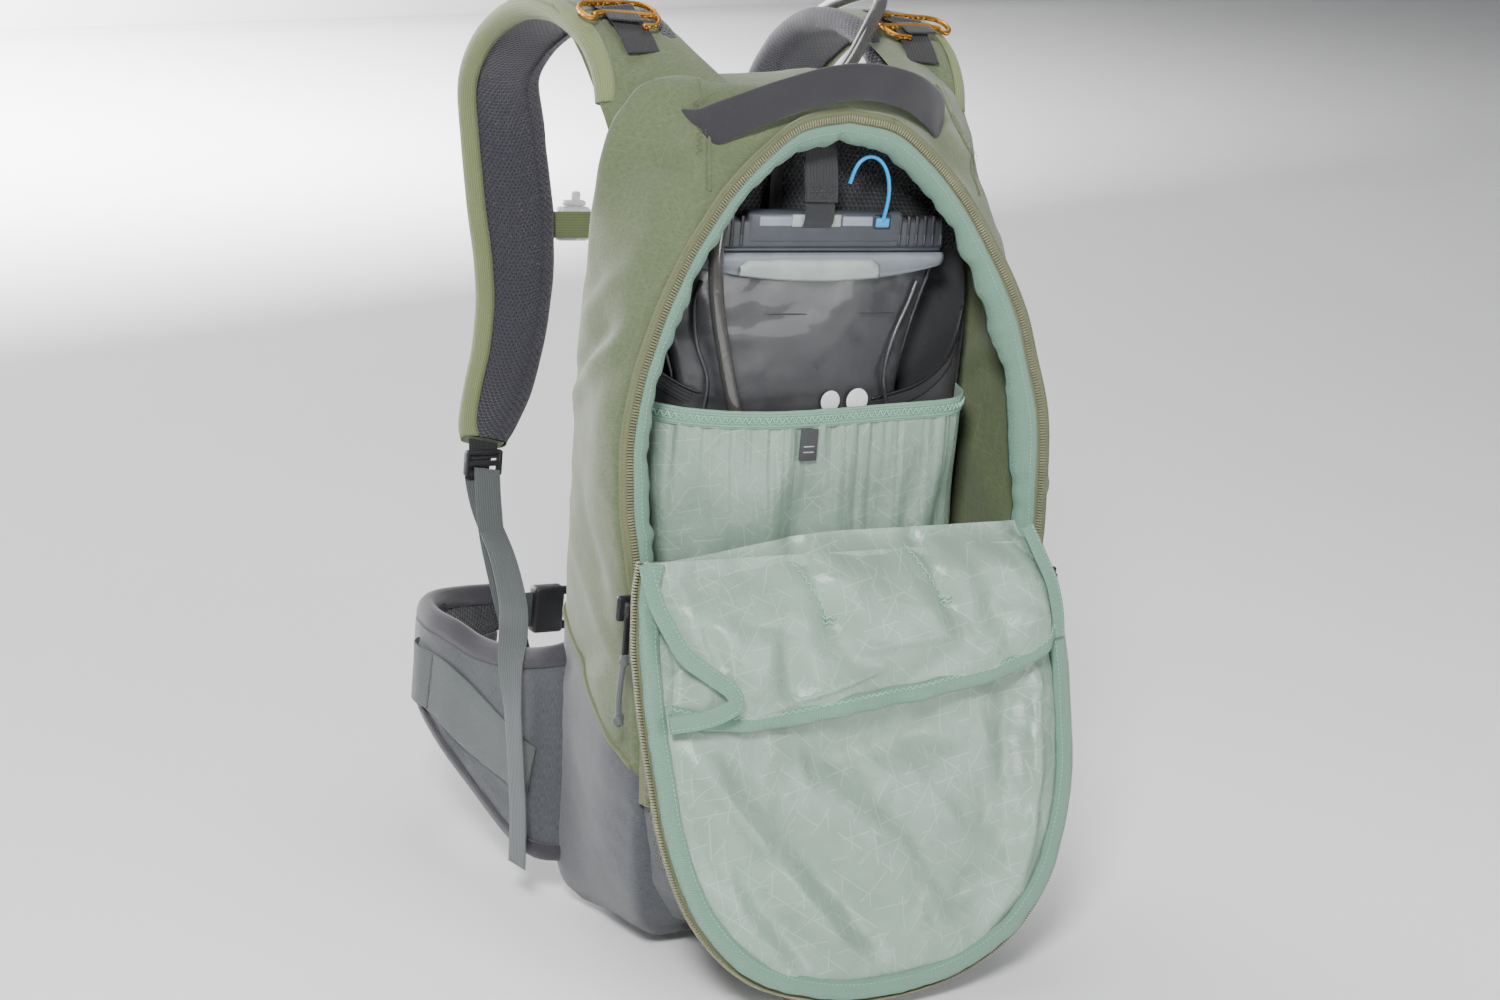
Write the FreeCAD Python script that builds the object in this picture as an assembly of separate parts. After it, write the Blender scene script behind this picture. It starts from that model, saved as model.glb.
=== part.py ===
import FreeCAD, Part
import math
import os
from FreeCAD import Vector

# Hydration pack, standing on its base with the main flap unzipped and hanging open.
# Millimetres. Origin: centre of the base on the floor. +Z up, -Y the side with the flap,
# +Y the wearer's side, +X to the right when facing the flap.

os.makedirs("parts", exist_ok=True)

# ---- driving dimensions ----------------------------------------------------
WALL = 3.0                 # fabric wall of the bag with its foam lining
GAP = 0.5                  # clearance between neighbouring pieces
CORNER = 14.0              # round of the bag's upright edges
OPENING_BOTTOM = 240.0     # lower edge of the main opening
OPENING_TOP = 498.0        # top of its arch
FLAP_PIVOT = (-79.0, 248.0)    # Y, Z of the fold that the flap turns on
FLAP_TOP = (-92.0, 258.0)      # Y, Z where the hanging lining starts
FLAP_BOTTOM = (-160.0, 10.0)   # Y, Z where the hanging lining ends
FLAP_THICK = 10.0
FLAP_ROUND_START = 200.0       # distance down the flap from which its outline closes in
STRAP_THICK = 10.0
MESH_THICK = 3.0
WEBBING = 1.6
BELT_PAD = 8.0
HOSE_DIAMETER = 9.0
HOSE_EXIT_RADIUS = 7.5
TETHER_DIAMETER = 2.5
ZIP_STAND = 2.8            # zip coil's centre line in front of the bag's front face
STRAP_INSIDE = 1.0         # sign of the strap's thickness direction towards the wearer
WING_OUTSIDE = -1.0        # sign of the wing's thickness direction away from the wearer
PULL_DIAMETER = 3.6
HANDLE_WIDTHS = [15.0, 18.0, 21.0, 22.0, 22.0, 22.0, 21.0, 18.0, 15.0]
PULL_PIVOT = (-71.0, 222.0)    # Y, Z of the pin that the pull tab swings on

# Bag sections: height, half-width at the back, half-width at the front, back Y, front Y.
BAG = [
    (0.0, 108.0, 94.0, 44.0, -36.0),
    (14.0, 120.0, 110.0, 47.0, -46.0),
    (45.0, 125.0, 121.0, 48.0, -54.0),
    (120.0, 128.0, 130.0, 48.0, -60.0),
    (200.0, 130.0, 139.0, 48.0, -62.0),
    (235.0, 131.0, 146.0, 48.0, -58.0),
    (281.0, 132.0, 151.0, 48.0, -50.0),
    (321.0, 133.0, 150.0, 48.0, -44.0),
    (355.0, 133.0, 142.0, 47.0, -39.0),
    (394.0, 133.0, 128.0, 47.0, -34.0),
    (427.0, 132.0, 109.0, 46.0, -29.0),
    (458.0, 130.0, 87.0, 45.0, -25.0),
    (484.0, 124.0, 60.0, 44.0, -22.0),
    (503.0, 108.0, 36.0, 42.0, -18.0),
    (517.0, 78.0, 22.0, 34.0, -8.0),
]

# Main opening: height and half-width, up one side; the other side mirrors it.
OPENING = [
    (OPENING_BOTTOM, 139.0), (281.0, 143.0), (321.0, 142.0), (355.0, 134.0), (394.0, 119.0),
    (427.0, 101.0), (458.0, 79.0), (480.0, 52.0), (494.0, 24.0),
]

# Flap outline: distance down the flap and half-width.
FLAP = [
    (0.0, 128.0), (35.0, 134.0), (80.0, 141.0), (125.0, 143.0), (170.0, 136.0),
    (208.0, 119.0), (232.0, 95.0), (247.0, 66.0), (255.0, 34.0), (257.0, 0.0),
]

# Shoulder strap: centre X (left side positive outwards), Y, Z and width, from root to tip.
STRAP = [
    (98.0, 54.0, 494.0, 58.0), (98.0, 61.0, 512.0, 60.0), (99.0, 80.0, 529.0, 62.0),
    (101.0, 115.0, 540.0, 62.0), (102.0, 158.0, 540.0, 62.0), (104.0, 195.0, 529.0, 60.0),
    (106.0, 226.0, 510.0, 56.0), (105.0, 249.0, 483.0, 52.0), (95.0, 259.0, 445.0, 55.0),
    (86.0, 262.0, 403.0, 57.0), (80.0, 262.0, 365.0, 54.0), (79.0, 261.0, 333.0, 50.0),
    (85.0, 254.0, 300.0, 46.0), (95.0, 245.0, 275.0, 42.0), (106.0, 234.0, 256.0, 34.0),
    (109.0, 228.0, 247.0, 28.0),
]

# Hip-belt wing: outward X, Y, bottom and top, from the bag round to the front of the hips.
WING = [
    (136.0, 37.0, 20.0, 164.0), (143.0, 75.0, 32.0, 153.0), (152.0, 112.0, 50.0, 148.0),
    (160.0, 140.0, 66.0, 152.0), (163.0, 166.0, 80.0, 152.0), (156.0, 196.0, 88.0, 150.0),
    (138.0, 221.0, 92.0, 147.0), (112.0, 239.0, 95.0, 143.0), (84.0, 249.0, 98.0, 140.0),
]
WING_BAND = [
    (136.0, 37.0, 64.0, 94.0), (143.0, 75.0, 69.0, 105.0), (152.0, 112.0, 76.0, 118.0),
    (160.0, 140.0, 88.0, 128.0), (163.0, 166.0, 92.0, 130.0),
]

# Drink hose, from the bladder's port up inside the bag, out at the top and down the right strap.
HOSE = [
    (-34.0, -15.5, 142.0), (-36.0, -15.7, 180.0), (-40.0, -15.5, 222.0), (-46.0, -15.6, 266.0),
    (-54.0, -15.5, 310.0), (-66.0, -15.2, 350.0), (-76.0, -13.5, 390.0), (-77.0, -10.0, 430.0),
    (-60.0, -3.0, 465.0), (-28.0, 8.0, 487.0), (4.0, 20.0, 504.0), (30.0, 34.0, 524.0),
    (56.0, 58.0, 546.0), (82.0, 88.0, 558.0), (98.0, 122.0, 562.0), (104.0, 160.0, 556.0),
    (107.0, 198.0, 545.0), (109.0, 236.0, 524.0), (109.0, 263.0, 490.0), (98.0, 275.0, 448.0),
    (88.0, 278.0, 404.0), (84.0, 278.0, 364.0), (84.0, 276.0, 330.0),
]

TETHER = [
    (15.6, -2.0, 457.0), (17.0, -3.5, 467.0), (23.5, -5.0, 474.0), (32.0, -6.0, 473.0),
    (38.5, -6.5, 465.0), (41.0, -6.5, 454.0), (41.0, -5.5, 443.5), (40.0, -3.6, 434.3),
]

# Loose end of the shoulder webbing: outward X, Y, Z; it hangs outside the belt wing.
TAIL = [
    (111.0, 227.6, 238.0), (112.0, 227.0, 224.5), (114.0, 207.0, 205.0), (121.0, 160.0, 188.0),
    (134.0, 112.0, 173.0), (148.0, 78.0, 163.0), (156.0, 62.0, 147.0), (157.0, 52.0, 120.0),
    (156.0, 45.0, 88.0), (154.0, 41.0, 55.0), (152.0, 42.0, 24.0),
]


# ---- helpers ---------------------------------------------------------------
def save(shape, name):
    """Write one sub-part and report its validity."""
    shape.exportStep("parts/" + name + ".step")
    print(name, "valid", shape.isValid(), "solids", len(shape.Solids), "cm3", round(shape.Volume / 1000, 2))


def block(x_range, y_range, z_range):
    size = [span[1] - span[0] for span in (x_range, y_range, z_range)]
    return Part.makeBox(size[0], size[1], size[2], Vector(x_range[0], y_range[0], z_range[0]))


def soft_block(x_range, y_range, z_range, radius):
    shape = block(x_range, y_range, z_range)
    return shape.makeFillet(radius, shape.Edges)


def between(rows, value):
    """Linear reading of a table whose first column is the position."""
    for low, high in zip(rows, rows[1:]):
        if value <= high[0]:
            part = (value - low[0]) / (high[0] - low[0])
            return [a + part * (b - a) for a, b in zip(low, high)]
    return list(rows[-1])


def corner_wire(points, radius):
    """Closed wire through the points with every corner rounded."""
    edges = []
    starts = []
    count = len(points)
    for index in range(count):
        here = points[index]
        before = (points[index - 1] - here).normalize()
        after = (points[(index + 1) % count] - here).normalize()
        half = before.getAngle(after) / 2
        reach = radius / math.tan(half)
        middle = here + (before + after).normalize() * (radius / math.sin(half) - radius)
        starts.append((here + before * reach, middle, here + after * reach))
    for index in range(count):
        arc_in, arc_mid, arc_out = starts[index]
        edges.append(Part.Arc(arc_in, arc_mid, arc_out).toShape())
        edges.append(Part.LineSegment(arc_out, starts[(index + 1) % count][0]).toShape())
    return Part.Wire(edges)


def bag_wire(z, inset, radius):
    """Bag section at one height, moved in by the inset."""
    _, back_half, front_half, back_y, front_y = between(BAG, z)
    back_y -= inset
    front_y += inset
    corners = [
        Vector(-front_half + inset, front_y, z), Vector(front_half - inset, front_y, z),
        Vector(back_half - inset, back_y, z), Vector(-back_half + inset, back_y, z),
    ]
    return corner_wire(corners, radius)


def bag_solid(inset, bottom, top):
    heights = [bottom] + [row[0] for row in BAG if bottom < row[0] < top] + [top]
    wires = [bag_wire(z, inset, CORNER - inset) for z in heights]
    return Part.makeLoft(wires, True, True)


def outline_face(points):
    return Part.Face(Part.makePolygon(points + [points[0]]))


def mirrored(shape):
    return shape.mirror(Vector(0, 0, 0), Vector(1, 0, 0))


def both_sides(make, name, *args):
    """Left piece as made, right piece mirrored."""
    left = make(*args)
    save(left, name + "_left")
    save(mirrored(left), name + "_right")


def section_frames(points, width_axis):
    """For each point: unit width direction and unit thickness direction.

    The width axis is one direction, or a list with one for each point.
    """
    axes = width_axis if isinstance(width_axis, list) else [width_axis] * len(points)
    frames = []
    for index in range(len(points)):
        ahead = points[min(index + 1, len(points) - 1)]
        behind = points[max(index - 1, 0)]
        along = (ahead - behind).normalize()
        axis = axes[index]
        across = (axis - along * axis.dot(along)).normalize()
        frames.append((across, along.cross(across).normalize()))
    return frames


def band(points, widths, thickness, width_axis, shift=0.0):
    """Flat strap along the points; shift moves it along its thickness direction."""
    wires = []
    for point, width, frame in zip(points, widths, section_frames(points, width_axis)):
        across, normal = frame
        centre = point + normal * shift
        side = across * (width / 2)
        deep = normal * (thickness / 2)
        corners = [centre - side - deep, centre + side - deep, centre + side + deep, centre - side + deep]
        wires.append(Part.makePolygon(corners + [corners[0]]))
    return Part.makeLoft(wires, True, True)


def upright_band(rows, thickness, shift=0.0):
    """Upright strip from rows of outward X, Y, bottom and top, on the left side."""
    plan = [Vector(-row[0], row[1], 0) for row in rows]
    wires = []
    for row, point, frame in zip(rows, plan, section_frames(plan, Vector(0, 0, 1))):
        normal = frame[1]
        inner = point + normal * (shift - thickness / 2)
        outer = point + normal * (shift + thickness / 2)
        low = Vector(0, 0, row[2])
        high = Vector(0, 0, row[3])
        corners = [inner + low, outer + low, outer + high, inner + high]
        wires.append(Part.makePolygon(corners + [corners[0]]))
    return Part.makeLoft(wires, True, True)


def round_path(points, name):
    """Straight runs joined by arcs as large as the two runs allow."""
    edges = []
    start = points[0]
    radii = []
    for before, here, after in zip(points, points[1:], points[2:]):
        back = before - here
        ahead = after - here
        shorter = min(back.Length, ahead.Length)
        half_turn = (math.pi - back.getAngle(ahead)) / 2
        reach = 0.45 * shorter
        radius = reach / math.tan(half_turn)
        radii.append(radius)
        arc_in = here + back.normalize() * reach
        arc_out = here + ahead.normalize() * reach
        to_middle = (arc_in + arc_out) * 0.5 - here
        middle = here + to_middle.normalize() * (radius / math.cos(half_turn) - radius)
        edges.append(Part.LineSegment(start, arc_in).toShape())
        edges.append(Part.Arc(arc_in, middle, arc_out).toShape())
        start = arc_out
    edges.append(Part.LineSegment(start, points[-1]).toShape())
    print(name, "radii", [round(radius, 1) for radius in radii])
    return Part.Wire(edges)


def tube(route, diameter, name):
    points = [Vector(*point) for point in route]
    path = round_path(points, name)
    profile = Part.Wire(Part.makeCircle(diameter / 2, points[0], points[1] - points[0]))
    shape = path.makePipeShell([profile], True, False)
    expected = math.pi * diameter ** 2 / 4 * path.Length
    print(name, "length", round(path.Length, 1), "volume ratio", round(shape.Volume / expected, 4))
    return shape


# ---- the bag ---------------------------------------------------------------
def opening_prism():
    """Arched opening, deep enough to cut through the front wall only."""
    left = [Vector(-half, -80.0, z) for z, half in OPENING]
    right = [Vector(half, -80.0, z) for z, half in reversed(OPENING)]
    apex = Vector(0, -80.0, OPENING_TOP)
    return outline_face(left + [apex] + right).extrude(Vector(0, 74, 0))


def boot_cutter():
    """Everything below the sloping seam between the upper bag and the boot."""
    corners = [(100, -10), (100, 227), (-120, 76), (-120, -10)]
    profile = [Vector(-200, y, z) for y, z in corners]
    return outline_face(profile).extrude(Vector(400, 0, 0))


def hose_exit():
    """Round hole in the roof that the drink hose leaves by."""
    inside = Vector(*HOSE[10])
    heading = Vector(*HOSE[11]) - inside
    return Part.makeCylinder(HOSE_EXIT_RADIUS, 55.0, inside - heading * 0.5, heading)


def bag():
    outer = bag_solid(0.0, BAG[0][0], BAG[-1][0])
    cavity = bag_solid(WALL, 5.0, BAG[-1][0] - WALL)
    shell = outer.cut(cavity).cut(opening_prism())
    shell = shell.cut(hose_exit())
    boot = boot_cutter()
    save(shell.cut(boot), "main_shell")
    save(shell.common(boot), "lower_boot")


def zip_track():
    """Coil of the bag half of the zip, proud of the front face round the opening."""
    stations = [(232.0, 142.0)] + [(z, half + 3) for z, half in OPENING[1:]]
    side = [Vector(-half, between(BAG, z)[4] - ZIP_STAND, z) for z, half in stations]
    other = [Vector(-point.x, point.y, point.z) for point in reversed(side)]
    apex = Vector(0, between(BAG, 500.0)[4] - ZIP_STAND, 501.0)
    points = side + [apex] + other
    return band(points, [4.0] * len(points), 2.4, Vector(0, 1, 0.1))


def front_pocket():
    """Tool pocket below the opening, with its own zips down both sides."""
    rows = [
        (18.0, 84.0, 10.0), (45.0, 103.0, 25.0), (120.0, 122.0, 34.0), (200.0, 127.0, 28.0),
        (231.0, 124.0, 10.0),
    ]
    wires = []
    for z, half, depth in rows:
        front_y = between(BAG, z)[4] - GAP
        corners = [
            Vector(-half, front_y - depth, z), Vector(half, front_y - depth, z),
            Vector(half + 2, front_y, z), Vector(-half - 2, front_y, z),
        ]
        wires.append(corner_wire(corners, 3.5))
    return Part.makeLoft(wires, True, True)


def pocket_zip():
    points = [Vector(-131.2, -66, 212), Vector(-124.2, -68, 104)]
    return band(points, [7.0] * 2, 2.0, Vector(0, 1, 0))


def pocket_gusset():
    """Mesh panel on the pocket's side wall, below the end of the zip."""
    corners = []
    for z, y in ((62.0, -66.0), (62.0, -80.0), (98.0, -84.0), (98.0, -66.0)):
        side = 103.0 + 19.0 * (z - 45.0) / 75.0
        corners.append(Vector(-side - 3.0, y, z))
    return outline_face(corners).extrude(Vector(-1.2, 0, 0))


def back_side():
    save(block((-121, 121), (48.5, 52.0), (26, 484)), "back_panel")
    pad = soft_block((-108, -18), (52.3, 65.0), (184, 470), 5.0)
    save(Part.makeCompound([pad, mirrored(pad)]), "back_pads")
    save(soft_block((-104, 104), (52.3, 71.0), (44, 168), 7.0), "lumbar_pad")
    save(block((-104, 104), (33, 40), (30, 470)), "protector_plate")
    save(block((-100, 100), (26, 27.5), (20, 480)), "mesh_sleeve")


def pocket_plan(thickness, grow):
    """Plan of the elastic pocket: near the front in the middle, back to the side walls."""
    outer = [(-120, 20), (-108, -6), (-80, -22), (0, -27), (80, -22), (108, -6), (120, 20)]
    front = [Vector(x, y - grow, 0) for x, y in outer]
    back = [Vector(x * 0.985, y + thickness, 0) for x, y in reversed(outer)]
    return outline_face(front + back)


def elastic_pocket():
    panel = pocket_plan(1.6, 0.0)
    panel.translate(Vector(0, 0, 72))
    save(panel.extrude(Vector(0, 0, 242)), "elastic_pocket")
    hem = pocket_plan(2.2, 1.0)
    hem.translate(Vector(0, 0, 314.4))
    save(hem.extrude(Vector(0, 0, 12)), "pocket_hem")
    save(block((-20, -8), (-30.2, -28.8), (296, 313)), "pocket_tag")


# ---- bladder and drink hose ------------------------------------------------
def bladder():
    rows = [
        (96.0, 70.0, 5.0), (112.0, 86.0, 11.0), (220.0, 92.0, 16.0), (330.0, 90.0, 13.0),
        (402.0, 80.0, 6.0),
    ]
    wires = []
    for z, half, depth in rows:
        corners = [
            Vector(4 - half, 7 - depth, z), Vector(4 + half, 7 - depth, z),
            Vector(4 + half, 7 + depth, z), Vector(4 - half, 7 + depth, z),
        ]
        wires.append(corner_wire(corners, 4.5))
    save(Part.makeLoft(wires, True, True), "bladder_film")
    bar = soft_block((-81, 89), (-2, 12), (412, 436), 3.0)
    save(bar, "closure_bar")
    save(soft_block((-52, 60), (-3, 11), (402.4, 411.6), 2.0), "lip_panel")
    fall = [(20, 488), (10, 480), (0, 464), (-5.5, 446), (-5.5, 430)]
    strap = [Vector(2, y, z) for y, z in fall]
    save(band(strap, [24.0] * len(strap), 2.2, Vector(1, 0, 0)), "hanger_strap")
    post = Part.makeCylinder(4.0, 2.4, Vector(40, -2.3, 430), Vector(0, -1, 0))
    save(post, "tether_button")
    save(tube(TETHER, TETHER_DIAMETER, "tether_cord"), "tether_cord")
    collar = Part.makeCylinder(8.0, 6.0, Vector(-34, -9.5, 128), Vector(0, -1, 0))
    start = Vector(*HOSE[0])
    heading = Vector(*HOSE[1]) - start
    stem = Part.makeCylinder(6.0, 14.0, start, heading * -1)
    save(collar.fuse(stem).removeSplitter(), "hose_port")


def hose():
    save(tube(HOSE, HOSE_DIAMETER, "drink_hose"), "drink_hose")
    last = Vector(*HOSE[-1])
    heading = (last - Vector(*HOSE[-2])).normalize()
    sleeve = Part.makeCylinder(7.0, 20.0, last, heading)
    tip = Part.makeCone(7.0, 4.5, 22.0, last + heading * 20, heading)
    save(sleeve.fuse(tip).removeSplitter(), "bite_valve")
    above = Vector(*HOSE[-4])
    run = Vector(*HOSE[-3]) - above
    centre = above + run * 0.5
    outer = block((centre.x - 9, centre.x + 9), (266.4, centre.y + 8), (centre.z - 6, centre.z + 6))
    bore = Part.makeCylinder(HOSE_DIAMETER / 2 + 0.3, 60, centre - run.normalize() * 30, run)
    save(outer.cut(bore), "hose_clip")


# ---- flap ------------------------------------------------------------------
def flap_axes():
    top = Vector(0, *FLAP_TOP)
    down = (Vector(0, *FLAP_BOTTOM) - top).normalize()
    inward = Vector(1, 0, 0).cross(down) * -1
    if inward.y < 0:
        inward = inward * -1
    return top, down, inward


def flap_outline(grow, depth, start=0.0, end=FLAP[-1][0]):
    """Outline points at a depth behind the lining, from one distance down the flap to another."""
    top, down, inward = flap_axes()
    rows = [between(FLAP, start)] + [row for row in FLAP if start < row[0] < end] + [between(FLAP, end)]
    left = []
    for s, half in rows:
        length = s + grow if s > FLAP_ROUND_START else s
        left.append(top + down * length + inward * depth + Vector(-max(half + grow, 0.0), 0, 0))
    right = [Vector(-point.x, point.y, point.z) for point in reversed(left)]
    if rows[-1][1] == 0.0:
        left[-1].x = 0.0
        right = right[1:]
    return left + right


def flap_slab(grow, front, back, start=0.0, end=FLAP[-1][0]):
    inward = flap_axes()[2]
    face = outline_face(flap_outline(grow, front, start, end))
    return face.extrude(inward * (back - front))


def flap():
    save(flap_slab(0.0, 1.6, FLAP_THICK), "flap_panel")
    save(flap_slab(-3.0, 0.0, 1.4, 2.0), "flap_lining")
    save(flap_slab(-8.0, -9.0, -0.3, 9.0, 88.0), "flap_pocket")
    ring = flap_slab(2.5, -1.4, 4.0, 2.0).cut(flap_slab(-2.8, -2.0, 6.0))
    save(ring.cut(flap_slab(0.1, 1.5, 6.0)), "flap_binding")
    coil = flap_slab(3.0, 4.3, 8.0, 6.0).cut(flap_slab(0.3, 2.0, 12.0))
    save(coil, "flap_zip")


# ---- zip sliders and their pulls -------------------------------------------
def x_pin(radius, x_range):
    """Cylinder along X on the axis that the pull tab swings on."""
    start = Vector(x_range[0], *PULL_PIVOT)
    return Part.makeCylinder(radius, x_range[1] - x_range[0], start, Vector(1, 0, 0))


def zip_slider():
    body = block((-152.0, -143.0), (-68.0, -63.4), (214, 229))
    cheeks = [block(span, (-73.0, -68.0), (218.5, 225.5)) for span in ((-151.5, -150.0), (-145.0, -143.5))]
    return body.fuse(cheeks).fuse(x_pin(0.9, (-150.2, -144.8))).removeSplitter()


def pull_tab():
    plate = block((-149.1, -145.9), (-72.4, -69.6), (196, 224.0))
    cord_hole = block((-150, -145), (-71.8, -70.2), (197.5, 200))
    return plate.cut(x_pin(1.15, (-151, -144))).cut(cord_hole)


def pull_cord():
    """Doubled cord knotted to the tab, seen as one thick strand."""
    route = [
        (-147.5, -71.0, 195.8), (-148.1, -70.8, 186), (-148.6, -70.2, 176), (-148.4, -69.6, 166),
        (-147.6, -69.8, 157),
    ]
    return tube(route, PULL_DIAMETER, "pull_cord")


def pocket_slider():
    body = block((-136.0, -132.2), (-70.5, -61.5), (198, 210))
    tab = block((-138.8, -136.3), (-68.5, -63.5), (172, 206))
    return body.fuse(tab.fuse(block((-136.3, -136.0), (-67, -65), (202, 206))))


# ---- carrying parts --------------------------------------------------------
def carry_handle():
    side = [(-92, -14, 481), (-84, -18, 495), (-64, -23, 506), (-34, -28, 514)]
    left = [Vector(*point) for point in side]
    right = [Vector(-point.x, point.y, point.z) for point in reversed(left)]
    points = left + [Vector(0, -30, 517)] + right
    return band(points, HANDLE_WIDTHS, 4.0, Vector(0, -0.1, 1))


def strap_points():
    return [Vector(-row[0], row[1], row[2]) for row in STRAP]


def strap_pad():
    return band(strap_points(), [row[3] for row in STRAP], STRAP_THICK, Vector(1, 0, 0))


def strap_mesh():
    widths = [row[3] - 10 for row in STRAP]
    shift = (STRAP_THICK + MESH_THICK) / 2 + GAP
    return band(strap_points()[1:-1], widths[1:-1], MESH_THICK, Vector(1, 0, 0), shift * STRAP_INSIDE)


def lifter_web():
    rows = [(98.0, 64.0, 521.0), (99.0, 78.0, 530.0), (100.0, 96.0, 537.0), (101.0, 116.0, 541.5)]
    points = [Vector(-x, y, z) for x, y, z in rows]
    return band(points, [24.0] * 4, WEBBING, Vector(1, 0, 0), -6.6 * STRAP_INSIDE)


def lifter_hook():
    """Open G-shaped hook, cut from plate, lying on the strap."""
    outer = soft_plate((-22, 22), (-13, 13), 3.6)
    slot_web = soft_plate((-17, 17), (3, 9), 3.6)
    slot_hook = soft_plate((-16, 26), (-8.5, -1.0), 3.6)
    hook = outer.cut(slot_web).cut(slot_hook)
    place = FreeCAD.Placement(Vector(-104, 82, 540.5), FreeCAD.Rotation(Vector(1, 0, 0), 24))
    hook.Placement = place
    return hook


def soft_plate(x_range, y_range, thick):
    plate = block(x_range, y_range, (0, thick))
    edges = [edge for edge in plate.Edges if abs(edge.Vertexes[0].Z - edge.Vertexes[1].Z) > 1]
    return plate.makeFillet(2.4, edges)


def ladder_lock():
    frame = block((-124, -98), (218, 224), (226, 243))
    slots = block((-121, -101), (210, 230), (229, 232)).fuse(block((-121, -101), (210, 230), (236, 240)))
    return frame.cut(slots)


def lower_web():
    """Webbing from the boot up to the ladder lock, and its loose end outside the belt wing."""
    rows = [
        (111.0, 214.0, 232.0), (115.0, 198.0, 210.0), (118.0, 180.0, 188.0), (118.0, 140.0, 140.0),
        (118.0, 100.0, 88.0),
        (118.0, 70.0, 52.0), (118.0, 56.0, 42.0),
    ]
    points = [Vector(-x, y, z) for x, y, z in rows]
    held = band(points, [18.0] * len(points), WEBBING, Vector(1, 0, 0))
    loose = [Vector(-x, y, z) for x, y, z in TAIL]
    turning = [Vector(1, 0, 0)] * 4 + [Vector(1, -0.2, 0), Vector(1, -0.5, 0), Vector(0.5, -1, 0)]
    turning += [Vector(0.18, -1, 0)] * (len(loose) - len(turning))
    tail = band(loose, [18.0] * len(loose), WEBBING, turning)
    return Part.makeCompound([held, tail])


def sternum_strap():
    """Slider on the strap's edge with its webbing, which ends at the clip."""
    slider = block((-98, -72), (267.6, 272.4), (374, 398)).cut(block((-94, -76), (269.2, 271.4), (370, 402)))
    strip = block((-72.0, -44.0), (269.2, 270.8), (377, 395))
    return slider.fuse(strip)


def sternum_clip():
    body = soft_block((-43.6, -22.0), (266.0, 274.0), (374, 398), 2.0)
    return body.fuse(block((-36.0, -30.0), (268.0, 272.0), (396, 408)))


def belt_wing():
    return upright_band(WING, BELT_PAD)


def belt_band():
    """Wide webbing on the wing's outside, and the narrow end that carries the buckle."""
    wide = upright_band(WING_BAND, 2.0, (BELT_PAD / 2 + 2.0) * WING_OUTSIDE)
    rows = [(82.6, 250.2, 107.0, 132.0), (60.0, 253.5, 107.0, 132.0), (53.0, 254.0, 107.0, 132.0)]
    return Part.makeCompound([wide, upright_band(rows, 2.0)])


def belt_buckle():
    left = soft_block((-52.5, -30.0), (248.0, 260.0), (102, 137), 2.5)
    prongs = [block((-30.5, -14.0), (252.0, 256.0), span) for span in ((104, 110), (129, 135))]
    save(left.fuse(prongs), "belt_buckle_male")
    female = soft_block((14.0, 52.5), (247.0, 261.0), (102, 137), 2.5)
    mouth = block((10.0, 34.0), (250.5, 257.5), (103.5, 135.5))
    save(female.cut(mouth), "belt_buckle_female")


def main():
    bag()
    save(zip_track(), "zip_track")
    save(front_pocket(), "front_pocket")
    zip_left = pocket_zip()
    save(Part.makeCompound([zip_left, mirrored(zip_left)]), "pocket_zips")
    gusset = pocket_gusset()
    save(Part.makeCompound([gusset, mirrored(gusset)]), "pocket_gussets")
    back_side()
    elastic_pocket()
    bladder()
    hose()
    flap()
    both_sides(zip_slider, "zip_slider")
    both_sides(pull_tab, "pull_tab")
    both_sides(pull_cord, "pull_cord")
    both_sides(pocket_slider, "pocket_slider")
    save(carry_handle(), "carry_handle")
    both_sides(strap_pad, "strap_pad")
    both_sides(strap_mesh, "strap_mesh")
    both_sides(lifter_web, "lifter_web")
    both_sides(lifter_hook, "lifter_hook")
    both_sides(ladder_lock, "ladder_lock")
    both_sides(lower_web, "lower_web")
    both_sides(sternum_strap, "sternum_strap")
    both_sides(sternum_clip, "sternum_clip")
    both_sides(belt_wing, "belt_wing")
    both_sides(belt_band, "belt_band")
    belt_buckle()


main()
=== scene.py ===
import math

import bmesh
import bpy
import numpy as np
from mathutils import Matrix, Vector, noise


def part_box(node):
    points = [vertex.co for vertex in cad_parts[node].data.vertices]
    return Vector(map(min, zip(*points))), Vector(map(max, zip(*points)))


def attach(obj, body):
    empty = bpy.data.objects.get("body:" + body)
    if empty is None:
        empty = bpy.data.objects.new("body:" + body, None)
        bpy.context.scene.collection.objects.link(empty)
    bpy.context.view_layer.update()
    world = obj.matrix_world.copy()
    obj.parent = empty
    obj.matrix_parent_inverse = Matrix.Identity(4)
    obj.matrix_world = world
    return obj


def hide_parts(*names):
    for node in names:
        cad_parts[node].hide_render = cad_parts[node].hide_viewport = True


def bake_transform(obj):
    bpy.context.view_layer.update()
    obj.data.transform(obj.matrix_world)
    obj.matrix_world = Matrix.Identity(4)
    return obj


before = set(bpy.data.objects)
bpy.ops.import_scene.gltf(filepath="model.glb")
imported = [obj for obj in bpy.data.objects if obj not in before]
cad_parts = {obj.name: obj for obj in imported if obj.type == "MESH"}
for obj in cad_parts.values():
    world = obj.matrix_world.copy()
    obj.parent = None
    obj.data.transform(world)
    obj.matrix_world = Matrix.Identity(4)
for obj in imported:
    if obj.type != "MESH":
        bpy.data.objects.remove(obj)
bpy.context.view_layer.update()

# Hydration pack with its flap unzipped. Lengths in this file are millimetres in the CAD frame,
# unless a name ends in _m; meshes are scaled to metres when they are made.
MM = 0.001
UP = np.array([0.0, 0.0, 1.0])


# ---- small geometry helpers --------------------------------------------------
def arr(points):
    return np.array(points, dtype=float)


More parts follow.
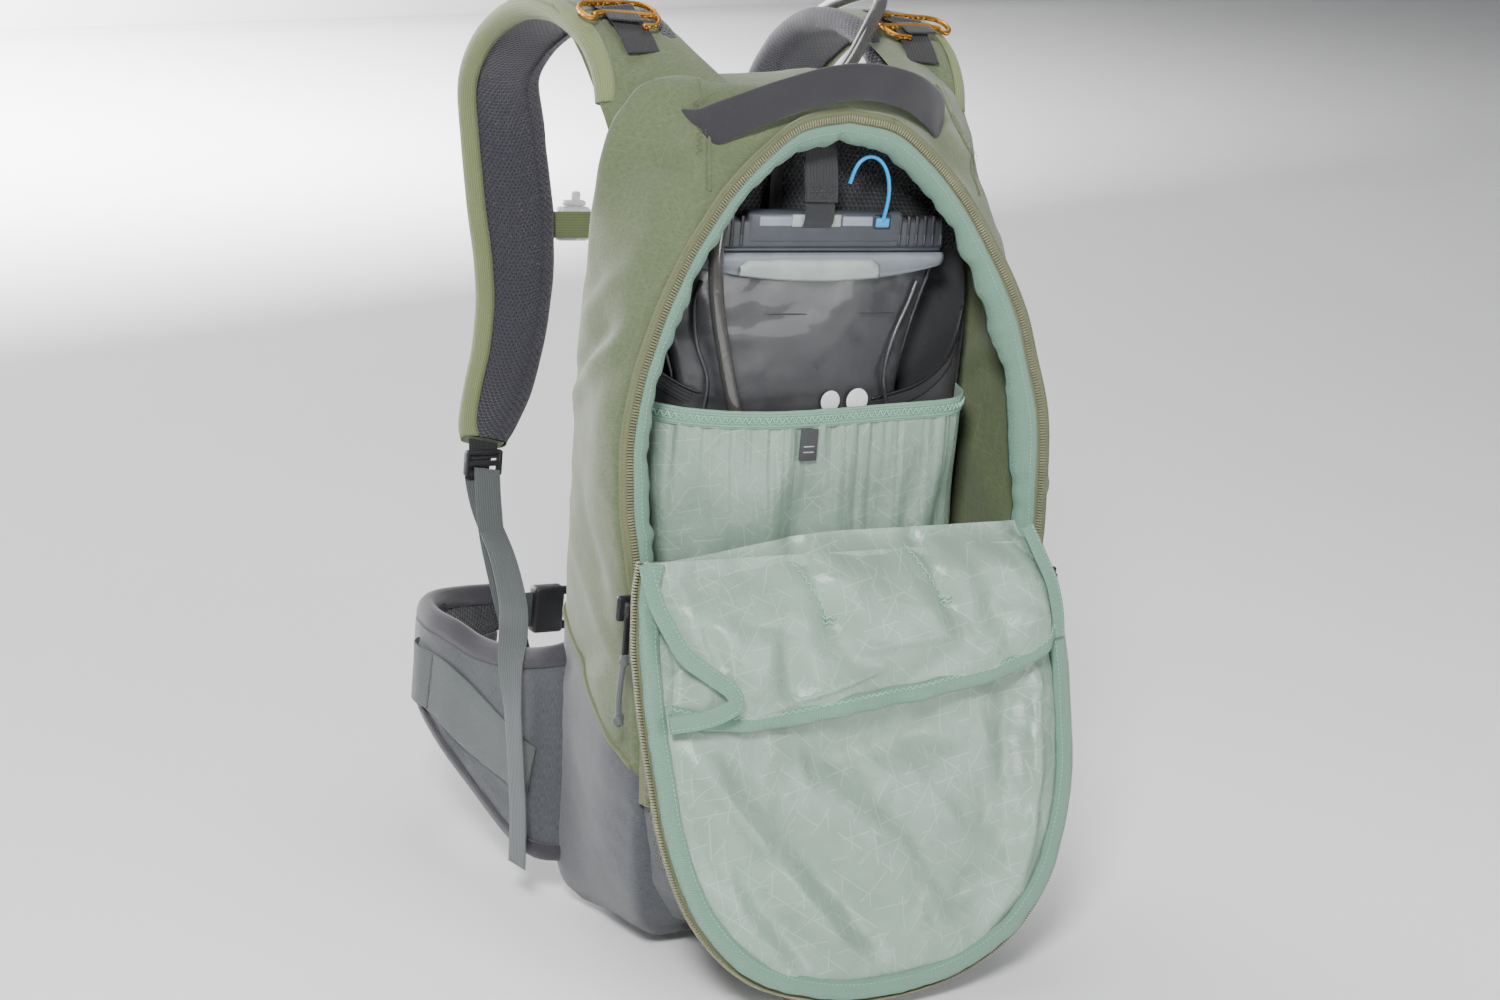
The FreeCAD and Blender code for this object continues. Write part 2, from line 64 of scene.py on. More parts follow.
def spline(points, count):
    """Catmull-Rom curve through the points, read at evenly spaced places along it."""
    p = arr(points)
    ends = np.vstack([2 * p[0] - p[1], p, 2 * p[-1] - p[-2]])
    fine = []
    for i in range(1, len(ends) - 2):
        a, b, c, d = ends[i - 1], ends[i], ends[i + 1], ends[i + 2]
        for t in np.linspace(0, 1, 16, endpoint=False):
            fine.append(0.5 * (2 * b + (c - a) * t + (2 * a - 5 * b + 4 * c - d) * t ** 2
                               + (3 * b - a - 3 * c + d) * t ** 3))
    fine.append(ends[-2])
    fine = arr(fine)
    run = np.concatenate([[0], np.cumsum(np.linalg.norm(np.diff(fine, axis=0), axis=1))])
    return np.stack([np.interp(np.linspace(0, run[-1], count), run, fine[:, k])
                     for k in range(fine.shape[1])], axis=1)


def unit(v):
    v = arr(v)
    return v / np.maximum(np.linalg.norm(v, axis=-1, keepdims=True), 1e-9)


def tangents(path):
    return unit(np.gradient(path, axis=0))


def wobble(point, scale, seed=0.0):
    """Smooth noise from -1 to 1, the same on every run."""
    return noise.noise(Vector((point[0] / scale + seed, point[1] / scale - seed,
                               point[2] / scale + 2 * seed)))


def node_box(name):
    """A CAD node's box in millimetres."""
    low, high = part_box(name)
    return arr(low) / MM, arr(high) / MM


def full_turn(count):
    """Angles evenly spaced round a circle."""
    return np.linspace(0, 2 * math.pi, count, endpoint=False)


def blunt(value, power):
    """Signed power, which squares up a circle's sine or cosine."""
    return math.copysign(abs(value) ** power, value)


def slice_of(value, low, high):
    """0 below low, 1 above high, smooth between."""
    t = np.clip((value - low) / (high - low), 0, 1)
    return t * t * (3 - 2 * t)


# ---- mesh builders ----------------------------------------------------------
def in_scene(name, data):
    """New object in the scene, at the origin."""
    obj = bpy.data.objects.new(name, data)
    bpy.context.scene.collection.objects.link(obj)
    return obj


def shade_smooth(mesh):
    for poly in mesh.polygons:
        poly.use_smooth = True


def new_object(name, mesh, look, body):
    """Object with one look, riding on a CAD body if it has one."""
    obj = in_scene(name, mesh)
    mesh.materials.append(MATERIALS[look])
    if body is not None:
        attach(obj, body)
    return obj


def mesh_from(name, verts, faces, look, body, uvs=None, smooth=True):
    mesh = bpy.data.meshes.new(name)
    mesh.from_pydata([tuple(v * MM) for v in arr(verts)], [], faces)
    if uvs is not None:
        layer = mesh.uv_layers.new(name="cloth")
        flat = arr(uvs) * MM
        for loop in mesh.loops:
            layer.data[loop.index].uv = flat[loop.vertex_index]
    for poly in mesh.polygons:
        poly.use_smooth = smooth
    mesh.update()
    return new_object(name, mesh, look, body)


def grid_faces(rows, cols, closed=False, flip=False):
    faces = []
    for i in range(rows - 1):
        for j in range(cols if closed else cols - 1):
            k = (j + 1) % cols
            quad = (i * cols + j, i * cols + k, (i + 1) * cols + k, (i + 1) * cols + j)
            faces.append(quad[::-1] if flip else quad)
    return faces


def grid_uvs(points):
    """Cloth coordinates: distance along each direction of the grid."""
    rows, cols = points.shape[:2]
    along = np.linalg.norm(np.diff(points, axis=1), axis=2)
    down = np.linalg.norm(np.diff(points, axis=0), axis=2)
    u = np.concatenate([np.zeros((rows, 1)), np.cumsum(along, axis=1)], axis=1)
    v = np.concatenate([np.zeros((1, cols)), np.cumsum(down, axis=0)], axis=0)
    u = u - u[:, -1:] / 2
    return np.stack([u, v], axis=2).reshape(-1, 2)


def grid(name, points, look, body, thick=0.0, flip=False, closed=False, uvs=None):
    points = arr(points)
    rows, cols = points.shape[:2]
    uvs = grid_uvs(points) if uvs is None else arr(uvs).reshape(-1, 2)
    obj = mesh_from(name, points.reshape(-1, 3), grid_faces(rows, cols, closed, flip), look,
                    body, uvs)
    if thick:
        solid = obj.modifiers.new("cloth thickness", "SOLIDIFY")
        solid.thickness = thick * MM
        solid.offset = 0.0
    return obj


def sweep(path, profile, frames):
    """Grid of points: the profile (across, deep) carried along the path."""
    across, deep = frames
    profile = arr(profile)
    return (path[:, None, :] + profile[None, :, 0:1] * across[:, None, :]
            + profile[None, :, 1:2] * deep[:, None, :])


def path_frames(path, width_axis):
    axis = arr(width_axis)
    if axis.ndim == 1:
        axis = repeated(axis, len(path))
    along = tangents(path)
    across = unit(axis - along * np.sum(axis * along, axis=1, keepdims=True))
    return across, unit(np.cross(along, across))


def strip_profile(width, thick, lip=0.35):
    """Outline of flat webbing with rounded edges."""
    w, t = width / 2, thick / 2
    r = min(lip * width, t)
    return [(-w, 0), (-w + r * 0.3, t * 0.8), (-w + r, t), (-w * 0.5, t), (0, t), (w * 0.5, t), (w - r, t),
            (w - r * 0.3, t * 0.8), (w, 0), (w - r * 0.3, -t * 0.8), (w - r, -t), (w * 0.5, -t), (0, -t),
            (-w * 0.5, -t), (-w + r, -t), (-w + r * 0.3, -t * 0.8)]


def webbing(name, points, width, thick, width_axis, look, body, count=60, widths=None):
    """Flat woven strap along the points, closed at both ends."""
    path = spline(points, count)
    axis = arr(width_axis)
    if axis.ndim == 2:
        legs = np.linalg.norm(np.diff(arr(points), axis=0), axis=1)
        share = np.concatenate([[0], np.cumsum(legs)]) / np.sum(legs)
        axis = np.stack([np.interp(np.linspace(0, 1, count), share, axis[:, k]) for k in range(3)], axis=1)
    rings = sweep(path, strip_profile(width, thick), path_frames(path, axis))
    if widths is not None:
        scale = np.interp(np.linspace(0, 1, count), np.linspace(0, 1, len(widths)), widths) / width
        rings = path[:, None, :] + (rings - path[:, None, :]) * scale[:, None, None]
    return tube_mesh(name, rings, look, body)


def tube_mesh(name, rings, look, body):
    """Closed skin over rings of points, with both ends capped."""
    rows, cols = rings.shape[:2]
    faces = grid_faces(rows, cols, closed=True)
    faces.append(tuple(range(cols - 1, -1, -1)))
    faces.append(tuple((rows - 1) * cols + j for j in range(cols)))
    closed = np.concatenate([rings, rings[:, :1]], axis=1)
    uvs = grid_uvs(closed).reshape(rows, cols + 1, 2)[:, :cols].reshape(-1, 2)
    return mesh_from(name, rings.reshape(-1, 3), faces, look, body, uvs)


def round_profile(radius, sides=10):
    turn = full_turn(sides)
    return np.stack([np.cos(turn) * radius, np.sin(turn) * radius], axis=1)


def piping(name, path, radius, look, body, sides=8):
    frames = path_frames(path, (0.31, 0.27, 0.9))
    return tube_mesh(name, sweep(path, round_profile(radius, sides), frames), look, body)


def repeated(vector, count):
    """The same vector in every row."""
    return np.repeat(arr(vector)[None, :], count, axis=0)


def many(name, shape, places, look, body, smooth=True):
    """One mesh holding a copy of a small shape (verts, faces) at each 3 x 4 place."""
    verts, faces = shape
    verts = arr(verts)
    all_verts = np.concatenate([verts @ place[:, :3].T + place[:, 3] for place in places])
    all_faces = [tuple(i + n * len(verts) for i in face) for n in range(len(places)) for face in faces]
    return mesh_from(name, all_verts, all_faces, look, body, smooth=smooth)


def pill_shape(length, width, height):
    """Small rounded stitch or tooth lying along its own X."""
    rings = []
    for x, size in ((-0.5, 0.3), (-0.35, 0.9), (0.35, 0.9), (0.5, 0.3)):
        rings.append([(x * length, size * width / 2 * math.cos(a), size * height / 2 * math.sin(a))
                      for a in full_turn(6)])
    verts = [p for ring in rings for p in ring]
    faces = grid_faces(4, 6, closed=True) + [tuple(range(5, -1, -1)), tuple(range(18, 24))]
    return verts, faces


def places_along(path, normals, pitch, turn=0.0, offset=0.0):
    """Frames every pitch along the path: X along it, Z along the normal."""
    run = np.concatenate([[0], np.cumsum(np.linalg.norm(np.diff(path, axis=0), axis=1))])
    count = max(int(run[-1] / pitch), 2)
    at = (np.arange(count) + 0.5) * run[-1] / count
    pos = np.stack([np.interp(at, run, path[:, k]) for k in range(3)], axis=1)
    nrm = unit(np.stack([np.interp(at, run, normals[:, k]) for k in range(3)], axis=1))
    along = tangents(pos)
    across = unit(np.cross(nrm, along))
    along = unit(along * math.cos(turn) + across * math.sin(turn))
    across = unit(np.cross(nrm, along))
    return [np.column_stack([along[i], across[i], nrm[i], pos[i] + nrm[i] * offset]) for i in range(count)]


def stitches(name, path, normals, look, body, pitch=3.0, length=2.1, width=0.5):
    shape = pill_shape(length, width, width)
    return many(name, shape, places_along(path, normals, pitch, offset=0.1), look, body)


def zip_coil(name, path, normals, look, body, pitch=1.7, width=4.2, height=2.2):
    """Coil of a zip: a row of rounded turns across the path."""
    shape = pill_shape(width, pitch * 0.72, height)
    return many(name, shape, places_along(path, normals, pitch, turn=math.pi / 2), look, body)


def rounded_block(name, low, high, radius, look, body, segments=3):
    """Box with rounded edges, for moulded parts."""
    low, high = arr(low), arr(high)
    bm = bmesh.new()
    bmesh.ops.create_cube(bm, size=1.0)
    for v in bm.verts:
        v.co = Vector((low + (arr(v.co) + 0.5) * (high - low)) * MM)
    bmesh.ops.bevel(bm, geom=bm.edges[:], offset=radius * MM, segments=segments,
                    profile=0.5, affect="EDGES")
    mesh = bpy.data.meshes.new(name)
    bm.to_mesh(mesh)
    bm.free()
    shade_smooth(mesh)
    return new_object(name, mesh, look, body)


def side_block(name, side, low, high, radius, look, body):
    """Rounded block of a pair: its corners are given for the left side."""
    low, high = arr(low), arr(high)
    if side == "right":
        low, high = arr([-high[0], low[1], low[2]]), arr([-low[0], high[1], high[2]])
    return rounded_block(name + "_" + side, low, high, radius, look, body)


def welded(mesh, gap_m):
    """Editable copy of a mesh, its vertices merged where they meet and its normals outward."""
    bm = bmesh.new()
    bm.from_mesh(mesh)
    bmesh.ops.remove_doubles(bm, verts=bm.verts[:], dist=gap_m)
    bmesh.ops.recalc_face_normals(bm, faces=bm.faces[:])
    return bm


def push(obj, height):
    """Moves each vertex along its normal by height(point in mm, normal) mm."""
    mesh = obj.data
    normals = [v.normal.copy() for v in mesh.vertices]
    for v, n in zip(mesh.vertices, normals):
        v.co += n * height(arr(v.co) / MM, n) * MM
    mesh.update()


def crease(point, start, end, width):
    """How near a point is to a crease line, 1 on the line, fading out over the width."""
    start, end = arr(start), arr(end)
    line = end - start
    t = float(np.clip(np.dot(point - start, line) / np.dot(line, line), 0, 1))
    gap = np.linalg.norm(point - start - line * t)
    return math.exp(-(gap / width) ** 2) * math.sin(math.pi * min(max(t, 0.02), 0.98)) ** 0.5


# ---- materials ---------------------------------------------------------------
class Shader:
    """Builds one node material; every helper returns an output socket."""

    def __init__(self, name):
        self.material = bpy.data.materials.new(name)
        self.material.use_nodes = True
        self.tree = self.material.node_tree
        self.out = self.tree.nodes["Principled BSDF"]

    def node(self, kind, **values):
        node = self.tree.nodes.new(kind)
        for key, value in values.items():
            if hasattr(node, key):
                setattr(node, key, value)
        return node

    def link(self, source, target):
        self.tree.links.new(source, target)

    def feed(self, socket, value):
        if isinstance(value, bpy.types.NodeSocket):
            self.link(value, socket)
        else:
            socket.default_value = value

    def math(self, operation, a, b=0.0, c=0.0):
        node = self.node("ShaderNodeMath", operation=operation)
        for socket, value in zip(node.inputs, (a, b, c)):
            self.feed(socket, value)
        return node.outputs[0]

    def coords(self, use_uv):
        if use_uv:
            node = self.node("ShaderNodeUVMap")
            node.uv_map = "cloth"
            return node.outputs["UV"]
        return self.node("ShaderNodeTexCoord").outputs["Object"]

    def scaled(self, vector, scale, turn=0.0, shift=(0, 0, 0)):
        node = self.node("ShaderNodeMapping")
        self.link(vector, node.inputs["Vector"])
        node.inputs["Scale"].default_value = scale
        node.inputs["Rotation"].default_value = (0, 0, turn)
        node.inputs["Location"].default_value = shift
        return node.outputs["Vector"]

    def noise(self, vector, scale, detail=3.0, rough=0.55):
        node = self.node("ShaderNodeTexNoise")
        self.link(vector, node.inputs["Vector"])
        node.inputs["Scale"].default_value = scale
        node.inputs["Detail"].default_value = detail
        node.inputs["Roughness"].default_value = rough
        return node.outputs["Fac"]

    def ramp(self, value, low, high, out_low=0.0, out_high=1.0):
        node = self.node("ShaderNodeMapRange")
        node.interpolation_type = "SMOOTHSTEP"
        self.feed(node.inputs["Value"], value)
        for key, number in (("From Min", low), ("From Max", high), ("To Min", out_low),
                            ("To Max", out_high)):
            node.inputs[key].default_value = number
        return node.outputs["Result"]

    def blend(self, factor, a, b):
        node = self.node("ShaderNodeMix")
        node.data_type = "RGBA"
        self.feed(node.inputs["Factor"], factor)
        for socket, value in ((node.inputs["A"], a), (node.inputs["B"], b)):
            if isinstance(value, bpy.types.NodeSocket):
                self.link(value, socket)
            else:
                socket.default_value = tuple(value) + (1.0,)
        return node.outputs["Result"]

    def split(self, vector):
        node = self.node("ShaderNodeSeparateXYZ")
        self.link(vector, node.inputs[0])
        return node.outputs

    def wave(self, value, pitch):
        """Sine from 0 to 1 with that pitch, in the value's own units."""
        turns = self.math("MULTIPLY", value, 2 * math.pi / pitch)
        return self.math("MULTIPLY_ADD", self.math("SINE", turns), 0.5, 0.5)

    def weave(self, vector, pitch):
        """Plain weave: threads over and under each other."""
        x, y, _ = self.split(vector)
        a = self.wave(x, pitch)
        b = self.wave(y, pitch)
        checks = self.math("MULTIPLY", self.math("SUBTRACT", a, 0.5), self.math("SUBTRACT", b, 0.5))
        return self.math("MULTIPLY_ADD", checks, 2.0, 0.5)

    def sticks(self, vector, cell, width, turns=(0.2, 0.95, 1.7, 2.5)):
        """Thin straight lines of random place and length, in several directions."""
        total = None
        for index, turn in enumerate(turns):
            moved = self.scaled(vector, (1, 1, 1), turn, (0.013 * index, 0.029 * index, 0))
            x, y, _ = self.split(moved)
            row = self.math("FLOOR", self.math("DIVIDE", y, cell * 0.42))
            shifted = self.math("ADD", self.math("DIVIDE", x, cell), self.math("MULTIPLY", row, 0.37))
            column = self.math("FLOOR", shifted)
            pair = self.node("ShaderNodeCombineXYZ")
            self.link(row, pair.inputs[0])
            self.link(column, pair.inputs[1])
            pair.inputs[2].default_value = float(index)
            random = self.node("ShaderNodeTexWhiteNoise")
            self.link(pair.outputs[0], random.inputs["Vector"])
            r, g, b = self.split(random.outputs["Color"])
            inside_y = self.math("SUBTRACT", self.math("DIVIDE", y, cell * 0.42), row)
            inside_x = self.math("SUBTRACT", shifted, column)
            level = self.math("MULTIPLY_ADD", r, 0.7, 0.15)
            gap = self.math("ABSOLUTE", self.math("SUBTRACT", inside_y, level))
            line = self.math("LESS_THAN", gap, width / (cell * 0.42))
            reach = self.math("ABSOLUTE", self.math("SUBTRACT", inside_x, 0.5))
            short = self.math("LESS_THAN", reach, self.math("MULTIPLY_ADD", g, 0.35, 0.1))
            shown = self.math("MULTIPLY", self.math("MULTIPLY", line, short),
                              self.math("LESS_THAN", b, 0.75))
            total = shown if total is None else self.math("MAXIMUM", total, shown)
        return total

    def finish(self, color, rough, bump=None, strength=0.3, distance=0.0004, **constants):
        self.feed(self.out.inputs["Roughness"], rough)
        if isinstance(color, bpy.types.NodeSocket):
            self.link(color, self.out.inputs["Base Color"])
        else:
            self.out.inputs["Base Color"].default_value = tuple(color) + (1.0,)
        if bump is not None:
            node = self.node("ShaderNodeBump")
            self.link(bump, node.inputs["Height"])
            node.inputs["Strength"].default_value = strength
            node.inputs["Distance"].default_value = distance
            self.link(node.outputs["Normal"], self.out.inputs["Normal"])
        for key, value in constants.items():
            self.out.inputs[key.replace("_", " ")].default_value = value
        return self.material


def shade(color, factor):
    return tuple(min(c * factor, 1.0) for c in color)


def heather_cloth(name, color, contrast, use_uv=True, ripstop=0.0, sticks=0.0, streak=1.0, rough=0.85):
    """Melange cloth: short fibres of lighter and darker yarn, with a faint ripstop square."""
    s = Shader(name)
    base = s.coords(use_uv)
    fibres = s.noise(s.scaled(base, (260, 2600, 2600) if use_uv else (300, 300, 2600)), streak, 4.0, 0.7)
    patches = s.noise(s.scaled(base, (60, 60, 60)), 1.0, 3.0)
    tone = s.blend(s.ramp(fibres, 0.36, 0.66), shade(color, 1 - contrast), shade(color, 1 + contrast))
    tone = s.blend(s.ramp(patches, 0.3, 0.75, 0.0, 0.35), tone, shade(color, 1 - 0.5 * contrast))
    height = s.weave(s.scaled(base, (1, 1, 1)), 0.0008)
    if ripstop:
        x, y, _ = s.split(base)
        lines = s.math("MAXIMUM", s.ramp(s.wave(x, 0.0045), 0.985, 1.0),
                       s.ramp(s.wave(y, 0.0045), 0.985, 1.0))
        tone = s.blend(s.math("MULTIPLY", lines, ripstop), tone, shade(color, 1.3))
        height = s.math("ADD", height, lines)
    if sticks:
        lines = s.sticks(base, 0.03, 0.0005)
        tone = s.blend(s.math("MULTIPLY", lines, sticks), tone, shade(color, 1.35))
    height = s.math("ADD", height, s.math("MULTIPLY", fibres, 0.6))
    return s.finish(tone, rough, height, 0.35, 0.0003, Sheen_Weight=0.25, Sheen_Roughness=0.5)


def lining_cloth(name, color, sticks=0.6):
    """Coated nylon lining: glossy, crinkled, with a faint pattern of straight lines."""
    s = Shader(name)
    base = s.coords(True)
    lines = s.sticks(base, 0.030, 0.00032)
    tint = s.noise(s.scaled(base, (14, 14, 14)), 1.0, 4.0)
    tone = s.blend(s.ramp(tint, 0.3, 0.7), shade(color, 0.9), shade(color, 1.08))
    tone = s.blend(s.math("MULTIPLY", lines, sticks), tone, shade(color, 1.5))
    small = s.noise(s.scaled(base, (70, 70, 70)), 1.0, 5.0, 0.6)
    weave = s.weave(s.scaled(base, (1, 1, 1)), 0.0006)
    height = s.math("MULTIPLY_ADD", weave, 0.08, s.math("MULTIPLY", small, 2.4))
    return s.finish(tone, s.ramp(small, 0.3, 0.7, 0.26, 0.38), height, 0.42, 0.0011,
                    Specular_IOR_Level=0.75)


def ribbed_tape(name, color, pitch=0.0012, across=False, rough=0.75, depth=0.0004):
    """Grosgrain or webbing: ribs across the length, with a fine twill."""
    s = Shader(name)
    x, y, _ = s.split(s.coords(True))
    ribs = s.wave(y if not across else x, pitch)
    twill = s.wave(s.math("ADD", x, y), pitch * 0.9)
    fleck = s.noise(s.scaled(s.coords(True), (900, 900, 900)), 1.0, 2.0)
    tone = s.blend(ribs, shade(color, 0.72), shade(color, 1.15))
    tone = s.blend(s.ramp(fleck, 0.35, 0.7, 0.0, 0.4), tone, shade(color, 1.3))
    height = s.math("MULTIPLY_ADD", twill, 0.4, ribs)
    return s.finish(tone, rough, height, 0.5, depth, Sheen_Weight=0.2)


def holed_mesh(name, color, pitch, dark=0.25, rough=0.8):
    """Spacer mesh: rows of dark oval holes, each row half a step along."""
    s = Shader(name)
    x, y, _ = s.split(s.coords(True))
    row = s.math("DIVIDE", y, pitch * 0.8)
    odd = s.math("MULTIPLY", s.math("FLOOR", s.math("MODULO", s.math("ADD", row, 4000.0), 2.0)), 0.5)
    u = s.math("SUBTRACT", s.math("FRACT", s.math("ADD", s.math("DIVIDE", x, pitch), odd)), 0.5)
    v = s.math("SUBTRACT", s.math("FRACT", row), 0.5)
    gap = s.math("SQRT", s.math("ADD", s.math("MULTIPLY", u, u),
                                s.math("MULTIPLY", s.math("MULTIPLY", v, v), 0.7)))
    hole = s.ramp(gap, 0.18, 0.34)
    fibre = s.noise(s.scaled(s.coords(True), (1500, 1500, 1500)), 1.0, 2.0)
    tone = s.blend(hole, shade(color, dark), s.blend(fibre, shade(color, 0.85), shade(color, 1.35)))
    return s.finish(tone, rough, s.math("MULTIPLY_ADD", fibre, 0.3,
                                        s.math("MULTIPLY", hole, 1.6)), 0.8, 0.0008,
                    Sheen_Weight=0.3)


def moulded(name, color, rough, grain=0.15, **constants):
    """Moulded plastic or coated metal with a fine grain and slight wear."""
    s = Shader(name)
    base = s.coords(False)
    fine = s.noise(s.scaled(base, (900, 900, 900)), 1.0, 3.0)
    broad = s.noise(s.scaled(base, (50, 50, 50)), 1.0, 3.0)
    tone = s.blend(s.ramp(broad, 0.3, 0.75), shade(color, 0.88), shade(color, 1.12))
    return s.finish(tone, s.ramp(broad, 0.3, 0.7, rough - 0.06, rough + 0.08), fine, grain,
                    0.0002, **constants)


SAGE = (0.096, 0.123, 0.058)
OLIVE = (0.165, 0.200, 0.085)
HEATHER = (0.066, 0.070, 0.080)
MINT = (0.235, 0.330, 0.268)
MINT_TAPE = (0.140, 0.262, 0.195)
SLATE = (0.036, 0.034, 0.044)

MATERIALS = {
    "slate_plain": heather_cloth("slate handle cloth", (0.021, 0.020, 0.025), 0.25, streak=1.3),
    "strip": moulded("bar inset", (0.25, 0.27, 0.33), 0.4),
    "sage": heather_cloth("sage ripstop", SAGE, 0.30, ripstop=0.25, sticks=0.30),
    # The inside walls are the sage cloth's wrong side, its colour brightened far past the outer sage:
    # painted light standing in for the light that reaches into the bag.
    "inner_sage_painted_light": heather_cloth("sage ripstop wrong side, painted light", (0.400, 0.480, 0.290), 0.1, ripstop=0.6),
    "heather": heather_cloth("grey heather", HEATHER, 0.42),
    "olive": ribbed_tape("olive edge binding", OLIVE, 0.0014, across=True),
    "mint": lining_cloth("mint lining", MINT),
    "mint_tape": ribbed_tape("mint grosgrain", MINT_TAPE, 0.0011),
    "hem": ribbed_tape("mint elastic hem", shade(MINT_TAPE, 1.2), 0.0016, across=True),
    "zip_tape": ribbed_tape("olive zip tape", (0.135, 0.150, 0.075), 0.0009),
    "coil": moulded("zip coil", (0.215, 0.215, 0.125), 0.42),
    "slate": heather_cloth("slate cloth", SLATE, 0.3, streak=1.3),
    "slate_mesh": holed_mesh("slate spacer mesh", (0.036, 0.034, 0.047), 0.0030),
    "black_mesh": holed_mesh("black sleeve mesh", (0.022, 0.023, 0.027), 0.0034, dark=0.15),
    "black_cloth": heather_cloth("black cloth", (0.018, 0.019, 0.022), 0.3),
    "black_web": ribbed_tape("black webbing", (0.017, 0.017, 0.019), 0.0022, across=True),
    "web": ribbed_tape("grey-green webbing", (0.086, 0.098, 0.098), 0.0016, across=True),
    "olive_web": ribbed_tape("olive webbing", (0.120, 0.150, 0.060), 0.0018, across=True),
    "black": moulded("black plastic", (0.018, 0.018, 0.020), 0.42),
    "slider": moulded("slider lacquer", (0.022, 0.022, 0.024), 0.3, Metallic=0.4),
    "gold": moulded("anodised hook", (0.72, 0.33, 0.055), 0.3, Metallic=0.85),
    "bar": moulded("closure bar plastic", (0.047, 0.051, 0.062), 0.38),
    "bar_light": moulded("lip plastic", (0.17, 0.19, 0.215), 0.36),
    "pill": moulded("window plastic", (0.30, 0.335, 0.325), 0.34),
    "film": moulded("bladder film", (0.040, 0.041, 0.045), 0.33, 0.05, Coat_Weight=0.15),
    "hose": moulded("smoky hose", (0.085, 0.083, 0.080), 0.12, Transmission_Weight=0.35, Coat_Weight=0.6),
    "blue": moulded("blue cord", (0.016, 0.255, 0.60), 0.35),
    "clear": moulded("clear clip", (0.72, 0.735, 0.74), 0.25, Transmission_Weight=0.3),
    "white": moulded("white button", (0.78, 0.79, 0.79), 0.4),
    "cord": ribbed_tape("pull cord", (0.085, 0.095, 0.095), 0.0013),
    "thread_dark": moulded("olive thread", (0.115, 0.125, 0.065), 0.8),
    "thread_mint": moulded("mint thread", (0.30, 0.55, 0.42), 0.7),
    # Black used only for the strip in the bar's gap: painted shade.
    "gap_shade_black": moulded("painted shade in the bar gap", (0.03, 0.03, 0.033), 0.8),
    "silicone": moulded("silicone print", (0.045, 0.047, 0.05), 0.25),
    "tag": moulded("woven tag", (0.052, 0.053, 0.056), 0.8),
    "tag_mark": moulded("tag weave", (0.45, 0.46, 0.46), 0.8),
    "foam": moulded("protector foam", (0.05, 0.05, 0.052), 0.7),
}


# ---- bag geometry ------------------------------------------------------------
# One station per row, from the floor up to the arch's apex: the front corner (half-width, Y, Z)
# and the back corner behind it.
STATIONS = [
    ((94, -36, 0), (108, 44, 0)), ((110, -46, 14), (120, 47, 14)), ((121, -54, 45), (125, 48, 45)),
    ((130, -60, 120), (128, 48, 120)), ((139, -62, 200), (130, 48, 200)),
    ((147, -58, 240), (131, 48, 240)), ((151, -50, 281), (132, 48, 281)),
    ((150, -44, 321), (133, 48, 321)), ((142, -39, 355), (134, 47, 355)),
    ((128, -34, 394), (134, 47, 396)), ((109, -29, 427), (133, 46, 434)),
    ((87, -25, 458), (129, 45, 468)), ((60, -22, 484), (117, 44, 494)), ((34, -19, 501), (92, 42, 512)),
    ((0, -18, 507), (0, 40, 521)),
]
OPENING_EDGE = 8.0          # from the front corner in to the zip
OPENING_BOTTOM = 240.0
ZIP_END = 226.0             # the zip runs a little past the opening
SIDE_STEPS = 150


def side_paths():
    """Front and back corner lines of the left side, floor to apex."""
    knots = spline([(-f[0], f[1], f[2], -b[0], b[1], b[2]) for f, b in STATIONS], SIDE_STEPS)
    return knots[:, :3], knots[:, 3:]


def both_halves(path):
    """A left-side path and its mirror image, joined over the apex."""
    right = path[::-1][1:] * arr([-1, 1, 1])
    return np.vstack([path, right])


def flat_outward(path):
    """Unit vectors in the XZ plane, square to the path, pointing away from the bag's middle."""
    along = tangents(path)
    out = np.stack([-along[:, 2], np.zeros(len(path)), along[:, 0]], axis=1)
    return unit(out)


CORNER_LEFT, BACK_LEFT = side_paths()
CORNER = both_halves(CORNER_LEFT)
BACK = both_halves(BACK_LEFT)
OUTWARD = flat_outward(CORNER)
EDGE = CORNER - OUTWARD * OPENING_EDGE + arr([0, -1.0, 0])
OPEN_ROWS = np.where(EDGE[:, 2] > ZIP_END)[0]


def gusset_rows(inset=0.0, steps=26):
    """The bag's side as a grid: each row runs from the zip edge round to the back panel."""
    rows = []
    for edge, corner, back, out in zip(EDGE, CORNER, BACK, OUTWARD):
        deep = arr([0, 1.0, 0])
        span = back[1] - corner[1]
        bulge = 5.0 * slice_of(corner[2], 20, 120)
        knots = [
            edge + deep * inset, edge + out * 4.5 + deep * (0.3 + inset),
            corner - out * (0.6 + inset) + deep * 5.0,
            corner * 0.75 + back * 0.25 + out * (bulge - inset) + deep * span * 0.02,
            corner * 0.4 + back * 0.6 + out * (bulge * 0.9 - inset),
            back + out * (1.0 - inset) - deep * 7.0,
            back - out * 2.5 - deep * (0.4 + inset), back - out * 12.0 - deep * inset,
        ]
        rows.append(spline(knots, steps))
    return arr(rows)


# Creases of the bag's sides: height, start and end on the right side, width.
BAG_CREASES = [
    (-3.2, (132, 30, 470), (92, -10, 462), 7), (2.6, (136, 40, 430), (112, -20, 415), 10),
    (-2.4, (134, 40, 300), (150, -40, 215), 9), (2.2, (132, 40, 255), (146, -50, 175), 10),
    (-2.0, (130, 45, 150), (136, -50, 196), 8), (3.0, (133, 44, 316), (148, -30, 372), 8),
    (-3.0, (133, 44, 330), (146, -24, 388), 7), (2.6, (134, 40, 360), (140, -10, 410), 9),
    (2.0, (126, 10, 480), (84, -8, 470), 5),
]
WRINKLE_GAIN = 1.3


